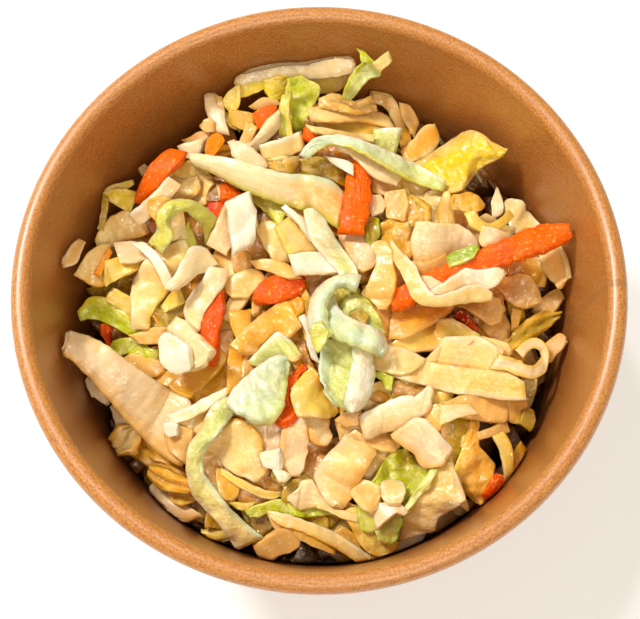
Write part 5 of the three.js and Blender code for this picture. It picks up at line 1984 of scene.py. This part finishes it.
def kraft():
    """Brown paper board with a thin satin lining: speckles, short fibres, and painted shade that darkens
    it lower down.
    """
    surface = Surface("kraft_board")
    grain = surface.own("grain")
    speckle = surface.noise(grain, 2.2, 3.0, 0.65)
    fibres = surface.noise(surface.stretched(grain, (0.45, 1.9, 1.0)), 1.1, 4.0, 0.7, 0.6)
    clouds = surface.noise(grain, 0.12, 2.0, 0.5)
    base = surface.mixed(surface.between(speckle, 0.3, 0.7), colour(tone(178, 109, 36)),
        colour(tone(221, 153, 76)))
    mottled = surface.mixed(
        surface.between(fibres, 0.35, 0.6, 0.6, 0.0), base, colour((0.7, 0.56, 0.42)), "MULTIPLY"
    )
    cloudy = surface.mixed(surface.between(clouds, 0.3, 0.7, 0.0, 0.2), mottled,
        colour((0.9, 0.82, 0.74)), "MULTIPLY")
    height = surface.node("ShaderNodeSeparateXYZ")
    surface.link(surface.place(), height.inputs[0])
    # painted shade, darker lower down
    damp = surface.between(height.outputs["Z"], DAMP_LOW * MM, DAMP_HIGH * MM, 1.0, 0.0)
    tint = surface.mixed(damp, cloudy, colour(DAMP_TINT), "MULTIPLY")
    surface.bump(surface.sum(speckle, fibres, 0.8), 0.1 * MM)
    surface.set(Base_Color=tint, Roughness=surface.between(speckle, 0.3, 0.7, 0.36, 0.52))
    surface.shader.inputs["Specular IOR Level"].default_value = 0.5
    surface.shader.inputs["Coat Weight"].default_value = 0.75
    surface.shader.inputs["Coat Roughness"].default_value = 0.3
    return surface.material


def dark_slaw():
    """The wet mass deep between the shreds, painted dark brown for the shade in the gaps between them."""
    surface = Surface("deep_slaw")
    blotches = surface.noise(surface.place(), 420.0, 4.0, 0.6)
    tint = surface.mixed(blotches, colour(tone(60, 32, 6)), colour(tone(150, 100, 28)))
    surface.bump(blotches, 0.8 * MM)
    surface.set(Base_Color=tint, Roughness=surface.between(blotches, 0.3, 0.7, 0.3, 0.55))
    return surface.material


def studio_floor():
    surface = Surface("studio_floor")
    grain = surface.noise(surface.place(), 6.0, 2.0, 0.5)
    surface.set(Base_Color=surface.mixed(grain, colour((0.88,) * 3), colour((0.92,) * 3)), Roughness=0.8)
    surface.shader.inputs["Emission Color"].default_value = colour((1.0, 1.0, 1.0))
    surface.shader.inputs["Emission Strength"].default_value = 0.25
    return surface.material


# ---- Putting it together ----
kraft_board = kraft()
for piece, node in ((cup_wall(kraft_board), "cup_wall"), (cup_base(kraft_board), "cup_base")):
    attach(piece, "root")
    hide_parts(node)

core = heap_core()
core.data.materials.append(dark_slaw())
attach(core, "root")
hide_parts("pickled_vegetables")

rib_look = cabbage("wet_cabbage_rib", 0.1, 0.5, 0.35)
shred_look = cabbage("wet_cabbage_shred", 0.13, 0.7, 0.35)
leaf_look = leaf("wet_cabbage_leaf")
LOOKS = {
    "cabbage_ribs": (rib_look, "pickled_cabbage", 50),
    "cabbage_ribbons": (shred_look, "pickled_cabbage", 60),
    "cabbage_leaves": (leaf_look, "cabbage_leaf", None),
    "carrot_sticks": (carrot(), "carrot", 60),
    "cabbage_shreds": (shred_look, "pickled_cabbage", 60),
    "cabbage_leaf_shreds": (leaf_look, "cabbage_leaf", None),
}
for name, kind in KINDS.items():
    if not kind.count:
        continue
    look, slot_name, sharp_deg = LOOKS[name]
    piece = kind.made(look, sharp_deg)
    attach(piece, "root")
    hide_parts("pickled_vegetables")

# ---- Floor, light and camera ----
FLOOR_SIZE = 3.0
half = FLOOR_SIZE / 2
floor = new_mesh(
    "floor", np.array([[-half, -half, 0], [half, -half, 0], [half, half, 0], [-half, half, 0]]),
    np.array([[0, 1, 2, 3]])
)
floor.data.materials.append(studio_floor())


def area_light(name, place, size, watts, tint=(1, 1, 1), aim=(0, 0, 0.04)):
    data = bpy.data.lights.new(name, "AREA")
    data.shape = "DISK"
    data.size = size
    data.energy = watts
    data.color = tint
    lamp = bpy.data.objects.new(name, data)
    bpy.context.scene.collection.objects.link(lamp)
    lamp.location = place
    lamp.rotation_euler = (Vector(aim) - Vector(place)).to_track_quat("-Z", "Y").to_euler()


area_light("key", (-0.44, 0.3, 0.74), 0.17, 6.4)
area_light("glint", (-0.2, 0.3, 0.9), 0.06, 1.5)
area_light("front", (0.15, -0.45, 0.85), 0.5, 3.7, tint=(1.0, 0.93, 0.8))

world = bpy.data.worlds.new("studio")
world.use_nodes = True
world.node_tree.nodes["Background"].inputs["Color"].default_value = (1.0, 0.92, 0.76, 1.0)
world.node_tree.nodes["Background"].inputs["Strength"].default_value = 0.32
bpy.context.scene.world = world

camera_data = bpy.data.cameras.new("camera")
camera_data.sensor_fit = "HORIZONTAL"
camera_data.sensor_width = SENSOR_WIDTH
camera_data.lens = SENSOR_WIDTH * FOCAL_PX / PICTURE[0]
camera_data.clip_start = 0.01
camera = bpy.data.objects.new("camera", camera_data)
bpy.context.scene.collection.objects.link(camera)
axes = Matrix([RIGHTWARDS, UPWARDS, -FORWARD]).transposed()
camera.matrix_world = Matrix.Translation(Vector(EYE * MM)) @ axes.to_4x4()
bpy.context.scene.camera = camera
bpy.context.scene.view_settings.view_transform = "Standard"
